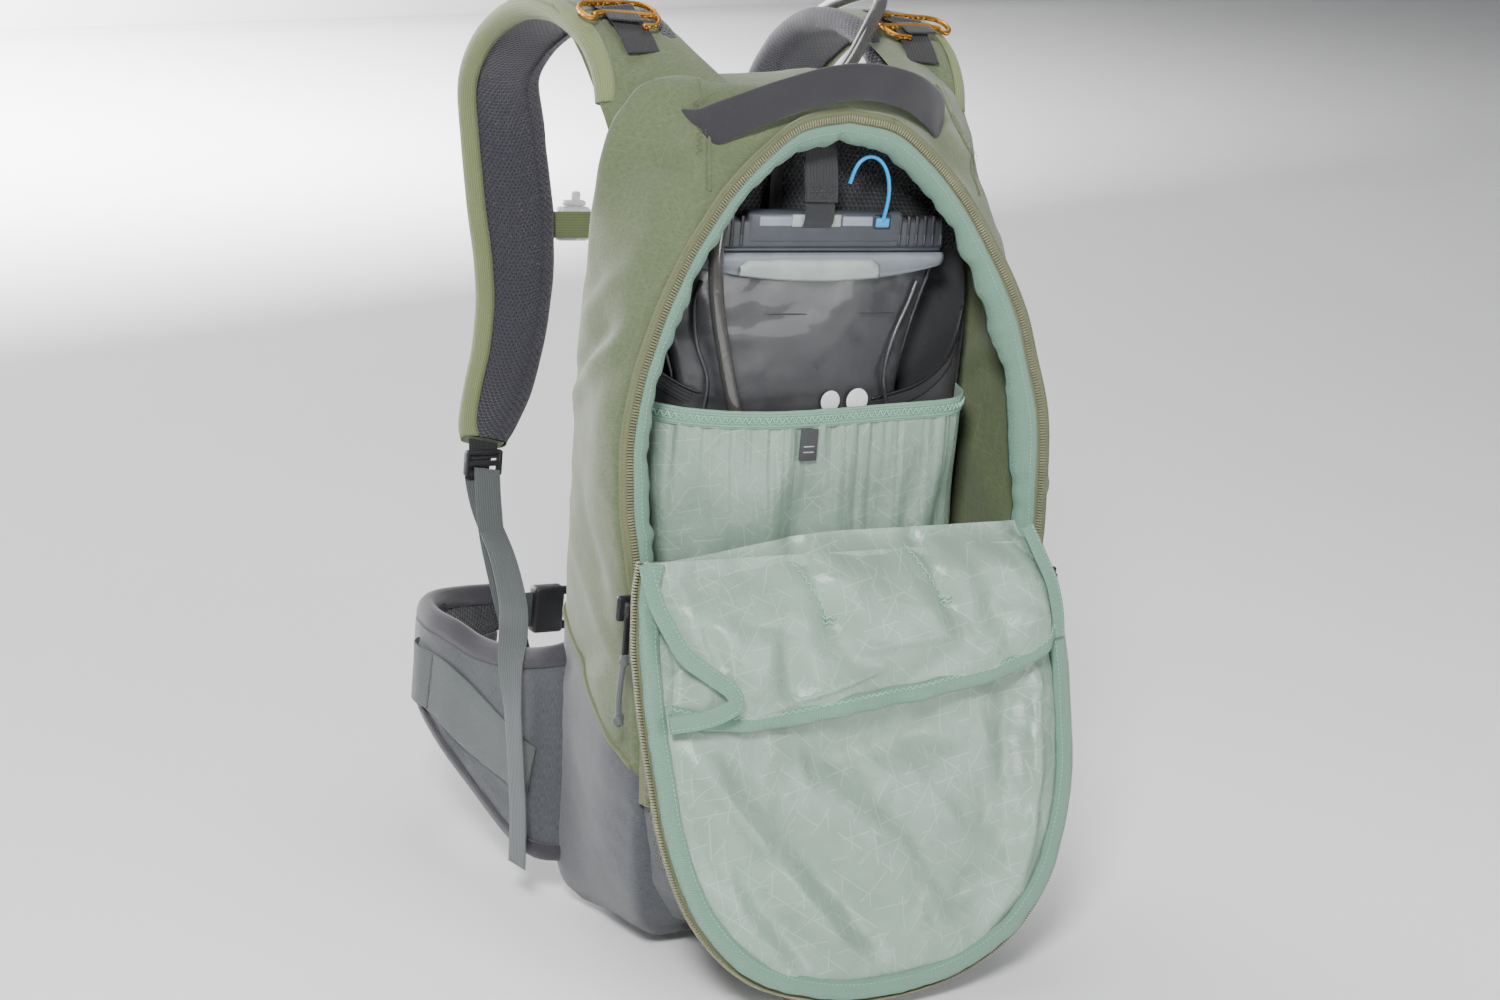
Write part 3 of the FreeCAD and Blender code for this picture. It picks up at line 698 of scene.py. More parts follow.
def bag_wrinkles(point, normal):
    """Gentle ripples of the outer cloth, deeper near the zip and at the shoulder corner."""
    _, y, z = point
    side = slice_of(z, 8, 60)
    soft = 2.4 * wobble(point * arr([1, 1, 0.55]), 62, 3.1)
    soft += 0.9 * wobble(point * arr([0.6, 1, 1]), 24, 7.7)
    soft += 0.3 * wobble(point, 9, 2.2)
    near_zip = 0.9 * wobble(arr([0, y, z * 2.2]), 16, 1.3) * slice_of(-y, 10, 50)
    folds = 0.0
    for sign in (-1, 1):
        flip = arr([sign, 1, 1])
        for height, start, end, width in BAG_CREASES:
            folds += height * crease(point, arr(start) * flip, arr(end) * flip, width)
    return WRINKLE_GAIN * side * (soft + near_zip + folds)


SEAM_NORMAL = Vector((0, -0.6875, 1.0)).normalized()
SEAM_AT = Vector((0, 0, 0.158))


def cut_at_seam(obj, keep_up):
    """Keeps the part of a skin above or below the boot's sloping seam; returns the cut line."""
    bm = welded(obj.data, 0.00002)
    cut = bmesh.ops.bisect_plane(bm, geom=bm.verts[:] + bm.edges[:] + bm.faces[:], plane_co=SEAM_AT,
                                 plane_no=SEAM_NORMAL, clear_inner=keep_up, clear_outer=not keep_up)
    chain = chain_of([e for e in cut["geom_cut"] if isinstance(e, bmesh.types.BMEdge)])
    bm.to_mesh(obj.data)
    bm.free()
    return chain


def outer_bag():
    """Outer cloth of the bag, cut at the sloping seam into upper and boot; returns the upper."""
    side = gusset_rows()
    low = [i for i in range(len(side)) if EDGE[i][2] < OPENING_BOTTOM and EDGE[i][0] < 0]
    n = len(side)
    front = [np.linspace(side[i][0], side[n - 1 - i][0], 30) for i in low]
    back = [np.linspace(side[i][-1], side[n - 1 - i][-1], 30) for i in range(SIDE_STEPS)]
    base = [np.linspace(side[0][j], side[n - 1][j], 30) for j in range(side.shape[1])]
    groups = [(side, False), (arr(back), False), (arr(front), True), (arr(base), True)]
    verts, faces, uvs, count = [], [], [], 0
    for points, flip in groups:
        rows, cols = points.shape[:2]
        verts.append(points.reshape(-1, 3))
        faces += [tuple(i + count for i in f) for f in grid_faces(rows, cols, flip=flip)]
        uvs.append(grid_uvs(points))
        count += rows * cols
    skins = []
    for name, node, look, slot, keep_up in (("bag_upper", "main_shell", "sage", "sage_ripstop", True),
                                            ("bag_boot", "lower_boot", "heather", "grey_heather", False)):
        skin = mesh_from(name, np.concatenate(verts), faces, look, "bag", np.concatenate(uvs))
        chain = cut_at_seam(skin, keep_up)
        push(skin, bag_wrinkles)
        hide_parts(node)
        skins.append(skin)
    pushed = [p + unit(p - arr([0, -5, p[2]])) * 0.4 for p in chain]
    pushed = [p + unit(p - arr([0, -5, p[2]])) * bag_wrinkles(p, None) for p in pushed]
    piping("boot_piping", spline(pushed[::3], 260), 1.5, "zip_tape", "bag")
    return skins[0]


def chain_of(edges):
    """Points of the longest chain that the edges make, in order, in mm."""
    links = {}
    for e in edges:
        for a, b in ((e.verts[0], e.verts[1]), (e.verts[1], e.verts[0])):
            links.setdefault(a, []).append(b)
    start = min(links, key=lambda v: (len(links[v]), v.co.y, v.co.x))
    chain, seen = [start], {start}
    while True:
        ahead = [v for v in links[chain[-1]] if v not in seen]
        if not ahead:
            break
        chain.append(ahead[0])
        seen.add(ahead[0])
    return [arr(v.co) / MM for v in chain]


BACK_LINING_Y = 36.0


def bag_inside():
    """Inner side walls, back lining and floor, seen through the opening."""
    rows = gusset_rows(inset=3.0)
    inner = rows[OPEN_ROWS[0] - 60:OPEN_ROWS[-1] + 61, 2:]
    # The walls take the brightened inside cloth: painted light inside the bag.
    wall = grid("inner_walls", inner, "inner_sage_painted_light", "bag", flip=True)
    push(wall, lambda p, n: 1.6 * wobble(p, 38, 5.5) + 0.7 * wobble(p, 14, 2.2))
    x = np.linspace(-124, 124, 50)
    back = [[(a * (1 - 0.55 * slice_of(z, 450, 520)), BACK_LINING_Y, z) for a in x]
            for z in np.linspace(30, 508, 60)]
    grid("inner_back", back, "mint", "bag", flip=True)
    front = []
    for z in np.linspace(30, 239, 30):
        narrow = np.interp(z, [30, 120, 240], [0.78, 0.88, 0.97])
        y = np.interp(z, [30, 120, 200, 240], [-40, -51, -54, -52])
        front.append([(a * narrow, y, z) for a in x])
    grid("inner_front", front, "mint", "bag")


def zip_edge():
    """Zip tape, coil, seam stitching and wavy mint facing round the opening."""
    path = EDGE[OPEN_ROWS[0]:OPEN_ROWS[-1] + 1]
    out = OUTWARD[OPEN_ROWS[0]:OPEN_ROWS[-1] + 1]
    fine = spline(path, 420)
    out = unit(spline(out, 420))
    front = repeated((0, -1.0, 0), len(fine))
    wave = arr([wobble(p, 24, 4.4) for p in fine])[:, None]
    ripple = arr([wobble(p, 9, 8.8) for p in fine])[:, None]
    fine = fine + front * (1.2 * wave)
    tape = sweep(fine + front * 1.2, [(-7, 0.9), (-4, 0.4), (-1, 0.0), (3, 0.0), (5.5, 0.5)], (out, -front))
    grid("zip_tape_bag", tape, "zip_tape", "bag", thick=0.5)
    coil = zip_coil("zip_coil_bag", fine + front * 2.6 - out * 0.6, front, "coil", "bag")
    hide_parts("zip_track")
    stitches("zip_seam_stitches", fine + out * 4.2 + front * 1.6, front, "thread_dark", "bag")
    steps = [(-3.0, 0.4), (-5.0, -0.6), (-8.5, -0.2), (-12.0, 1.4), (-15.0, 4.4), (-16.5, 8.0),
             (-15.6, 11.5)]
    rows = []
    for k, (inwards, deep) in enumerate(steps):
        sway = k / (len(steps) - 1)
        move = inwards * (1 + 0.22 * wave * sway) - 2.6 * ripple * sway
        rows.append(fine + front * (0.9 - deep * (1 + 0.35 * wave) + 0.9 * ripple * sway) + out * move)
    grid("zip_facing", np.stack(rows, axis=1), "mint_tape", "bag", thick=0.6)
    stitches("zip_facing_stitches", rows[2] + front * 0.5, front, "thread_mint", "bag",
             2.6, 1.7, 0.45)


# ---- flap --------------------------------------------------------------------
# Rim of the lining, from the top left corner round the bottom: x, distance down the flap.
FLAP_RIM = [
    (-147, 2), (-151, 22), (-153, 50), (-151, 85), (-147, 123), (-141, 160), (-130, 195), (-113, 222),
    (-88, 243), (-50, 256), (-8, 260), (40, 254), (78, 238), (105, 213), (122, 178), (130, 140),
    (131, 95), (128, 55), (121, 22), (113, 2),
]
FLAP_TOP = arr([0, -92, 258])
FLAP_END = arr([0, -160, 10])
FLAP_DOWN = unit(FLAP_END - FLAP_TOP)
FLAP_IN = arr([0, 0.9650, -0.2623])


def flap_rim(count, grow=0.0):
    """Rim of the flap from its top left corner round the bottom to its top right corner."""
    rim = spline(FLAP_RIM, count)
    along = tangents(rim)
    out = np.stack([-along[:, 1], along[:, 0]], axis=1)
    if np.sum(out[count // 2] * arr([0, 1])) < 0:
        out = -out
    return rim + out * grow, out


def flap_place(xs, depth=0.0):
    """Points on the flap: x, distance down the flap, depth behind the lining."""
    xs = arr(xs)
    base = FLAP_TOP + xs[..., 1:2] * FLAP_DOWN + arr(depth)[..., None] * FLAP_IN
    return base + xs[..., 0:1] * arr([1.0, 0, 0])


RIM_LEFT, RIM_RIGHT = arr(FLAP_RIM[:11]), arr(FLAP_RIM[:9:-1])


def rim_gap(x, s):
    """Distance from a point of the flap to its nearer side or to its lowest edge."""
    left = np.interp(s, RIM_LEFT[:, 1], RIM_LEFT[:, 0])
    right = np.interp(s, RIM_RIGHT[:, 1], RIM_RIGHT[:, 0])
    return min(x - left, right - x, 262 - s)


def flap_net(rows, cols, grow=0.0):
    """Grid over the flap, row by row from its fold to its lowest point: x, distance down."""
    rim, _ = flap_rim(2 * rows + 1, grow)
    left, right = rim[:rows, None], rim[:rows:-1, None]
    share = np.linspace(0, 1, cols)[None, :, None]
    return left * (1 - share) + right * share


def ridge(p, start, end, width, height):
    """Rounded fold of the cloth along a line."""
    return height * crease(p, start, end, width)


def edged(p, start, end, width, height):
    """Fold with a sharp crest: steep on the right of its line, and easing away on the left."""
    start, end = arr(start), arr(end)
    line = unit(end - start)
    across = np.dot(p - start, arr([line[2], 0, -line[0]]))
    t = np.dot(p - start, line) / np.linalg.norm(end - start)
    ends = slice_of(t, -0.15, 0.2) * (1 - slice_of(t, 0.8, 1.1))
    side = math.exp(-abs(across) / (width if across < 0 else width * 0.28))
    return height * side * ends


# Folds on the flap: shape, start and end (x, distance down), width, height forward.
LINING_FOLDS = [
    (edged, (-140, 104), (-84, 176), 17, 9.0), (ridge, (-140, 118), (-112, 196), 9, -6.0),
    (ridge, (-128, 128), (-104, 192), 6, 3.0), (ridge, (-87, 172), (-24, 246), 13, 6.0),
    (ridge, (-104, 176), (-52, 240), 11, -5.0), (ridge, (-60, 168), (0, 236), 12, -4.5),
    (ridge, (-40, 140), (20, 206), 13, 4.5), (ridge, (10, 190), (66, 214), 13, -3.0),
    (ridge, (-60, 122), (70, 104), 16, -7.0), (edged, (108, 78), (98, 150), 10, 6.5),
    (ridge, (90, 84), (84, 150), 9, -4.5), (ridge, (121, 76), (92, 214), 6, 5.0),
    (ridge, (114, 90), (106, 186), 4.5, -3.5), (ridge, (52, 116), (40, 200), 22, 3.0),
    (ridge, (30, 220), (80, 196), 10, -2.6),
]
ROLL_FOLDS = [
    (ridge, (-84, 40), (-92, 86), 12, 6.0), (ridge, (-74, 46), (-66, 92), 9, -5.0),
    (ridge, (-110, 30), (-104, 74), 9, 4.0), (ridge, (-124, 34), (-112, 66), 6, -5.0),
    (edged, (-84, 90), (-4, 70), 9, 5.5), (ridge, (-4, 84), (54, 60), 9, -4.5),
    (edged, (-24, 60), (40, 54), 12, 4.0), (ridge, (50, 70), (104, 46), 9, 4.0),
    (ridge, (66, 30), (84, 66), 9, -4.0), (ridge, (62, 4), (96, 22), 8, 2.5),
]


def sum_of_folds(p, table):
    """Height that a table of folds adds at a place of the flap."""
    return sum(fold(p, (start[0], 0, -start[1]), (end[0], 0, -end[1]), width, height)
               for fold, start, end, width, height in table)


def lining_relief(x, s):
    """How far the flap's lining stands forward of its flat plane."""
    p = arr([x, 0, -s])
    rim = slice_of(rim_gap(x, s), 2, 34)
    h = 3.5 * wobble(p * arr([1.0, 1, 0.8]), 80, 12.5) + 0.6 * wobble(p, 11, 9.3)
    slant = arr([(0.6 * x + 0.8 * s) * 0.3, 0, 0.8 * x - 0.6 * s])
    h += 2.6 * wobble(slant, 30, 3.3) + 0.7 * wobble(slant, 13, 7.1)
    h += sum_of_folds(p, LINING_FOLDS)
    pucker = 1.1 * wobble((x * 1.0, 0, s * 1.0), 7.5, 4.0) * (1 - slice_of(rim_gap(x, s), 4, 26))
    near_tape = slice_of(rim_gap(x, s), 6, 20)      # the lining is tucked under the edge tape
    return 0.2 + 2.8 * near_tape + 1.5 * rim * h + near_tape * pucker


def shell_relief(x, s):
    """How far the flap's outer cloth stands behind the plane of its lining."""
    rim = slice_of(rim_gap(x, s), -2, 40)
    return 8.6 + 3.4 * rim + 1.2 * wobble((x, s, 0), 60, 9.1)


def flap_pieces():
    """Lining, shell, binding and zip half of the hanging flap."""
    net = flap_net(110, 100, -1.0)
    depth = -arr([[lining_relief(x, s) for x, s in row] for row in net]) + 1.0
    lining = grid("flap_lining_cloth", flap_place(net, depth), "mint", "flap", uvs=net)
    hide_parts("flap_lining")

    rim, out2 = flap_rim(300, 0.0)
    out = np.stack([out2[:, 0], out2[:, 1] * 0, out2[:, 0] * 0], axis=1) + out2[:, 1:2] * FLAP_DOWN
    wave = arr([wobble((p[0], p[1], 0), 21, 6.1) for p in rim])[:, None]
    ripple = arr([wobble((p[0], p[1], 0), 8, 2.7) for p in rim])[:, None]
    face = repeated(-FLAP_IN, len(rim))
    line = flap_place(rim) + face * (1.0 * wave)
    profile = [(-8.3, 0.6), (-7.8, 1.9), (-4.6, 2.4), (0.0, 2.6), (2.2, 2.0), (3.0, 0.2), (2.6, -2.2),
               (0.5, -3.4)]
    rows = [line + out * (a + 0.7 * ripple) + face * (d + 0.5 * ripple) for a, d in profile]
    binding = grid("flap_edge_tape", np.stack(rows, axis=1), "mint_tape", "flap",
                   thick=0.5, flip=True)
    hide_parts("flap_binding")
    stitches("flap_edge_stitches", line + out * -5.6 + face * 2.8, face, "thread_mint",
             "flap", 2.8, 1.8, 0.45)
    profile = [(-2, -3.0), (1.5, -3.4), (4.2, -4.4), (5.2, -7.5), (2.5, -10.5)]
    tape_rows = [line + out * a + face * d for a, d in profile]
    grid("flap_zip_tape", np.stack(tape_rows, axis=1), "zip_tape", "flap",
         thick=0.5, flip=True)
    coil = zip_coil("flap_zip_coil", line + out * 5.2 - face * 3.6, out, "coil", "flap")
    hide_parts("flap_zip")

    net = flap_net(60, 50, 1.0)
    bulge = arr([[shell_relief(x, s) for x, s in row] for row in net])
    shell = grid("flap_outer_cloth", flap_place(net, bulge), "sage", "flap", uvs=net)
    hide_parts("flap_panel")


POCKET_EDGE = [
    (-146, 90), (-125, 96), (-101, 99), (-69, 98), (-29, 93), (11, 90), (67, 82), (95, 74), (112, 66),
    (124, 58),
]
POCKET_LEFT = [(-147, -8), (-146, 20), (-141, 45), (-137, 62), (-140, 90)]
POCKET_RIGHT = [(108, -8), (112, 12), (120, 30), (123, 50), (124, 60)]
DARTS = ((-52, -40, 44), (29, 40, 41))      # x at the top, x at the foot, distance down of the foot
ROLL_GRID = (170, 64)
ROLL_TOP, ROLL_HEIGHT = -8, 98.0            # distance down the flap
ROLL_LEFT, ROLL_WIDTH = -142, 265


def left_sag(x, s, drop):
    """How far the flap's top sinks towards its left corner."""
    return arr([0, 0, -drop]) * slice_of(-x, 20, 150) * (1 - slice_of(s, 0, 60))


def roll_relief(x, s, low, gap):
    """How far the upper pocket stands forward of the flap's plane."""
    p = arr([x, 0, -s])
    share = np.clip(s / low, 0, 1)
    h = 5.0 + 13.0 * math.sin(math.pi * (0.10 + 0.72 * share)) + 3.0 * share
    slant = arr([(0.75 * x + 0.66 * s) * 0.28, 0, 0.66 * x - 0.75 * s])
    h += 3.6 * wobble(p, 48, 21.5) + 3.0 * wobble(slant, 26, 13.5) + 0.8 * wobble(slant, 12, 3.5)
    for top_x, low_x, low_s in DARTS:
        at = top_x + (low_x - top_x) * np.clip(s / low_s, 0, 1)
        open_to = 1 - slice_of(s, low_s - 6, low_s + 10)
        h -= 3.6 * math.exp(-((x - at) / 6.0) ** 2) * open_to
        h += 1.4 * math.exp(-((abs(x - at) - 17) / 9.0) ** 2) * open_to
        h -= 1.6 * math.exp(-((x - low_x) / 9.0) ** 2 - ((s - low_s) / 8.0) ** 2)
    h += sum_of_folds(p, ROLL_FOLDS)
    return max(h, 1.0) * (0.25 + 0.75 * slice_of(gap, 0, 18))


def upper_pocket():
    """Crumpled pocket that rolls over the top of the flap, with its darts and bound edges."""
    cols, rows = ROLL_GRID
    left, right = arr(POCKET_LEFT), arr(POCKET_RIGHT)
    points, flat = np.zeros((rows, cols, 3)), np.zeros((rows, cols, 2))
    for j, a in enumerate(np.linspace(0, 1, cols)):
        x_low = ROLL_LEFT + ROLL_WIDTH * a
        low = np.interp(x_low, [e[0] for e in POCKET_EDGE], [e[1] for e in POCKET_EDGE])
        for i, b in enumerate(np.linspace(0, 1, rows)):
            s = ROLL_TOP + b * (low - ROLL_TOP)
            x_left = np.interp(s, left[:, 1], left[:, 0])
            x_right = np.interp(s, right[:, 1], right[:, 0])
            x = x_left + (x_right - x_left) * a
            gap = min(x - x_left, x_right - x)
            h = roll_relief(x, s, low, gap)
            back = arr([0, 14.0, -2.0]) * (1 - slice_of(s, ROLL_TOP, 18))
            tilt = left_sag(x, s, 13.0)
            points[i, j] = flap_place(arr([x, s]), arr(-h)) + back + tilt
            flat[i, j] = (x, s)
    cloth = grid("flap_pocket_cloth", points, "mint", "flap", uvs=flat)
    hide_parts("flap_pocket")
    edge = points[-1]
    front = repeated(-FLAP_IN, cols)
    down = repeated(FLAP_DOWN, cols)
    wave = arr([wobble(p, 17, 3.9) for p in edge])[:, None]
    profile = ((-9.0, 0.6), (-8.0, 1.6), (-3.5, 2.2), (0.6, 1.8), (1.8, 0.2), (0.8, -1.4), (-4.0, -2.0))
    tape_rows = [edge + down * (a + 0.8 * wave) + front * (d + 0.8 * wave) for a, d in profile]
    grid("pocket_edge_tape", np.stack(tape_rows, axis=1), "mint_tape", "flap", thick=0.5)
    zigzag("pocket_edge_zigzag", edge - down * 6.6 + front * 2.3, front, "thread_mint", "flap", height=1.8)
    for index, (top_x, low_x, low_s) in enumerate(DARTS):
        line = []
        for s in np.linspace(2, low_s, 24):
            x = top_x + (low_x - top_x) * s / low_s
            j = int(round((x - ROLL_LEFT) / ROLL_WIDTH * (cols - 1)))
            i = int(round((s - ROLL_TOP) / (ROLL_HEIGHT - ROLL_TOP) * (rows - 1)))
            line.append(points[i, j])
        line = spline(line, 40)
        facing = repeated(-FLAP_IN, len(line))
        zigzag("dart_seam_%d" % index, line + facing * 0.6, facing, "thread_mint", "flap", height=1.6)
        for k in range(3):
            tack = spline([line[-1] + arr([-6, -0.4, 3.0 * k - 2]),
                           line[-1] + arr([6, -0.4, 3.0 * k - 3])], 12)
            zigzag("dart_tack_%d_%d" % (index, k), tack + facing[0] * 1.6, facing[:12],
                   "thread_mint", "flap",
                   height=2.0)


def flap_ribbon(name, places, width):
    """Binding that lies on the flap along places given as x, distance down, height forward."""
    line = spline([flap_place(arr([x, s]), arr(-h)) + left_sag(x, s, 9.0)
                   for x, s, h in places], 70)
    across = unit(np.cross(-FLAP_IN, tangents(line)))
    ribbon = webbing(name, line, width, 0.7, across, "mint_tape", "flap", 70)
    facing = repeated(-FLAP_IN, 70)
    stitches(name + "_stitches", line + across * (width * 0.3) + facing * 1.0, facing,
             "thread_mint", "flap",
             2.8, 1.8, 0.45)
    return ribbon


def pocket_bindings():
    """Bindings down both sides of the rolled pocket; the left one doubles back in a fold."""
    flap_ribbon("pocket_side_left", [(-150, -6, 3), (-148, 18, 9), (-142, 40, 13), (-136, 55, 17),
                                     (-124, 66, 22),
                                     (-113, 75, 25), (-111, 82, 27), (-117, 87, 25), (-130, 91, 20),
                                     (-145, 93, 10)], 10.0)
    flap_ribbon("pocket_side_right", [(107, -6, 3), (111, 10, 8), (118, 28, 10), (122, 46, 9),
                                      (124, 62, 6)], 9.0)


def fold_over():
    """Lining that comes up inside the bag and rolls over into the flap."""
    knots = [(-54, 205), (-57, 228), (-63, 243), (-72, 253), (-84, 257), (-95, 254), (-101, 243)]
    profile = spline(knots, 22)
    cols = 110
    rows = []
    for k, (y, z) in enumerate(profile):
        row = []
        for a in np.linspace(-1, 1, cols):
            reach = np.interp(k, [0, 8, 21], [138, 141, 147] if a < 0 else [132, 126, 110])
            x = a * reach
            lift = 2.6 * wobble((x, y, z), 44, 2.6) + 1.0 * wobble((x, y, z), 17, 5.2)
            end = slice_of(1 - abs(a), 0, 0.1)
            row.append((x, y - 0.5 * lift, z + lift * end - 3 * (1 - end) - 13 * slice_of(-x, 20, 150)))
        rows.append(row)
    obj = grid("flap_fold_cloth", rows, "mint", None)
    end = Vector((0, -0.092, 0.256))
    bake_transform(obj)


# ---- inside the bag ----------------------------------------------------------
def zigzag(name, path, normals, look, body, pitch=2.2, height=3.4, radius=0.35):
    """Zigzag seam: short stitches that lean one way and then the other."""
    lean = math.atan2(height, pitch)
    shape = pill_shape(math.hypot(height, pitch), 2 * radius, 2 * radius)
    forward = places_along(path, normals, pitch, turn=lean, offset=0.15)
    backward = places_along(path, normals, pitch, turn=-lean, offset=0.15)
    places = [forward[i] if i % 2 else backward[i] for i in range(len(forward))]
    return many(name, shape, places, look, body)


POCKET_PLAN = [(-120, 20), (-108, -6), (-80, -22), (0, -27), (80, -22), (108, -6), (120, 20)]
POCKET_LOW, POCKET_TOP = 72.0, 316.0
HEM_WIDTH = 11.0


def pocket_line(count):
    plan = spline([(x, y, 0) for x, y in POCKET_PLAN], count)
    front = unit(np.cross(tangents(plan), UP))
    if front[count // 2][1] > 0:
        front = -front
    return plan, front


def hem_height(x):
    return POCKET_TOP + 1.2 * math.sin(x / 31.0) + 3.0 * (x / 120.0) ** 2


def elastic_pocket():
    cols, rows = 240, 80
    plan, front = pocket_line(cols)
    points = np.zeros((rows, cols, 3))
    for j in range(cols):
        x = plan[j][0]
        top = hem_height(x)
        pleat = wobble((x, 0, 0), 7.5, 31.0) + 0.5 * wobble((x, 0, 0), 3.6, 17.0)
        for i, t in enumerate(np.linspace(0, 1, rows)):
            z = top - t * (top - POCKET_LOW)
            drop = top - z
            lean = wobble((x + 0.22 * drop * wobble((x, 0, 0), 60, 2.0), 0, drop * 0.22), 21, 5.0)
            bulge = 5.0 * math.sin(math.pi * min(drop / 190.0, 1.0)) * slice_of(120 - abs(x), 0, 50)
            move = 3.0 * pleat * math.exp(-drop / 42.0) + 7.0 * lean * slice_of(drop, 4, 60) + bulge
            points[i, j] = plan[j] + front[j] * move + arr([0, 0, z])
    cloth = grid("elastic_pocket_cloth", points, "mint", "bag")
    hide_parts("elastic_pocket")
    line = plan + arr([[0, 0, hem_height(p[0]) + HEM_WIDTH * 0.35] for p in plan])
    ripple = arr([wobble((p[0], 0, 0), 9, 3.0) for p in plan])[:, None]
    line = line + front * (0.8 + 0.7 * ripple)
    hem = webbing("pocket_hem_elastic", line, HEM_WIDTH, 1.0, (0, 0, 1), "hem", "bag", 200)
    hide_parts("pocket_hem")
    zigzag("pocket_hem_zigzag", line[4:-4] + front[4:-4] * 1.1, front[4:-4], "thread_mint",
           "bag", height=4.2)
    tag = rounded_block("pocket_tag_cloth", (-20, -31.6, 294.5), (-8, -30.4, 314), 0.5,
                        "tag", "bag")
    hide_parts("pocket_tag")
    for z in (303, 299.5):
        rounded_block("pocket_tag_line", (-17.5, -31.9, z), (-10.5, -31.5, z + 0.6), 0.1,
                      "tag_mark", "bag", 1)


def sleeve():
    """Black mesh behind the bladder, its seam tape, and the bladder's sleeve with its curved mouth."""
    z = np.linspace(60, 502, 60)
    half = np.interp(z, [60, 300, 355, 394, 427, 458, 484, 502], [116, 124, 124, 121, 112, 95, 74, 46])
    across = np.linspace(-1, 1, 60)
    rows = [[(a * h, 27 + 3 * wobble((a * h, 0, k), 60, 6.0) - 5 * abs(a) ** 4, k) for a in across]
            for k, h in zip(z, half)]
    rows = arr(rows)
    mesh = grid("sleeve_mesh", rows[47:], "black_mesh", "bag")
    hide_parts("mesh_sleeve")
    grid("sleeve_back", rows[:48], "black_cloth", "bag")
    webbing("sleeve_seam_tape", [(-22, 21, 500), (-22, 21.5, 470), (-21, 22, 430)], 8, 0.7, (1, 0, 0),
            "black_web", "bag", 24)
    for name, side in (("left", -1), ("right", 1)):
        mouth = spline([(side * 121, 22, 372), (side * 112, 14, 352), (side * 98, 6, 338),
                        (side * 76, 0, 327),
                        (side * 44, -3, 320)], 50)
        webbing("sleeve_mouth_" + name, mouth, 9, 0.9, (0, 0, 1), "black_web", "bag", 50)
        piping("sleeve_cord_" + name, mouth + arr([0, -1.0, 4.6]), 0.9, "black", "bag")
        rows = [mouth - arr([0, -0.5, d]) for d in (0, 10, 24, 40, 60)]
        grid("sleeve_cloth_" + name, rows, "black_cloth", "bag")


# Bladder film: height, left edge, right edge, half depth.
FILM_ROWS = [
    (92, -40, 44, 4), (100, -72, 78, 8), (130, -86, 90, 14), (220, -88, 92, 16), (318, -86, 66, 14),
    (340, -88, 66, 13), (362, -95, 70, 11), (385, -92, 76, 8), (398, -86, 80, 6), (408, -82, 82, 4),
]


FILM_Y = 7


def bladder():
    table = arr(FILM_ROWS)
    steps = 110
    z = np.linspace(table[0, 0], table[-1, 0], steps)
    left, right, deep = (np.interp(z, table[:, 0], table[:, k]) for k in (1, 2, 3))
    turn = full_turn(110)
    rings = []
    for k in range(steps):
        ring = []
        middle, half = (left[k] + right[k]) / 2, (right[k] - left[k]) / 2
        for a in turn:
            c, s = math.cos(a), math.sin(a)
            x = middle + half * blunt(c, 0.7)
            y = FILM_Y + deep[k] * blunt(s, 0.85)
            flank = slice_of(abs(c), 0.55, 0.95)
            dent = 1.2 * wobble((x, 0, z[k] * 0.5), 30, 4.0)
            dent += (0.3 + 1.6 * flank) * wobble((x, 0, z[k]), 9, 8.0)
            ring.append((x, y - dent * (1 if s < 0 else -1) * abs(s) ** 0.5, z[k]))
        rings.append(ring)
    film = tube_mesh("bladder_pillow", arr(rings), "film", "bag")
    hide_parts("bladder_film")
    for name, column, sign in (("left", 1, -1), ("right", 2, 1)):
        seam = spline([(row[column] + 1.5 * sign, FILM_Y + 1.5 * math.sin(row[0] / 40.0),
                        row[0]) for row in FILM_ROWS[1:]], 70)
        piping("film_weld_" + name, seam, 1.2, "film", "bag")
        fold = spline([(row[column] - (12 + 4 * math.sin(row[0] / 17.0)) * sign,
                        FILM_Y - row[3] * 0.93, row[0])
                       for row in FILM_ROWS[4:-1]], 40)
        piping("film_fold_" + name, fold, 1.3, "film", "bag")
    for index, (x, radius) in enumerate(((12.0, 6.6), (31.0, 7.6))):
        turn = np.linspace(0, 2 * math.pi, 28)
        disc = [[(x + r * math.cos(a), -8.6 - 0.1 * (r < radius), 325 + r * math.sin(a)) for a in turn]
                for r in (0.3, radius * 0.5, radius * 0.95, radius)]
        grid("film_dot_%d" % index, disc, "white", "bag")
    for index, (low, high) in enumerate(((-34, -8), (30, 54))):
        rounded_block("film_line_%d" % index, (low, -4.9, 378), (high, -4.2, 378.5), 0.1,
                      "black", "bag", 1)


def lip_depth(across):
    """How far the lip hangs below the bar, deepest at its middle."""
    return 7 + 10.5 * np.maximum(1 - (across / 88.0) ** 2, 0) ** 0.9


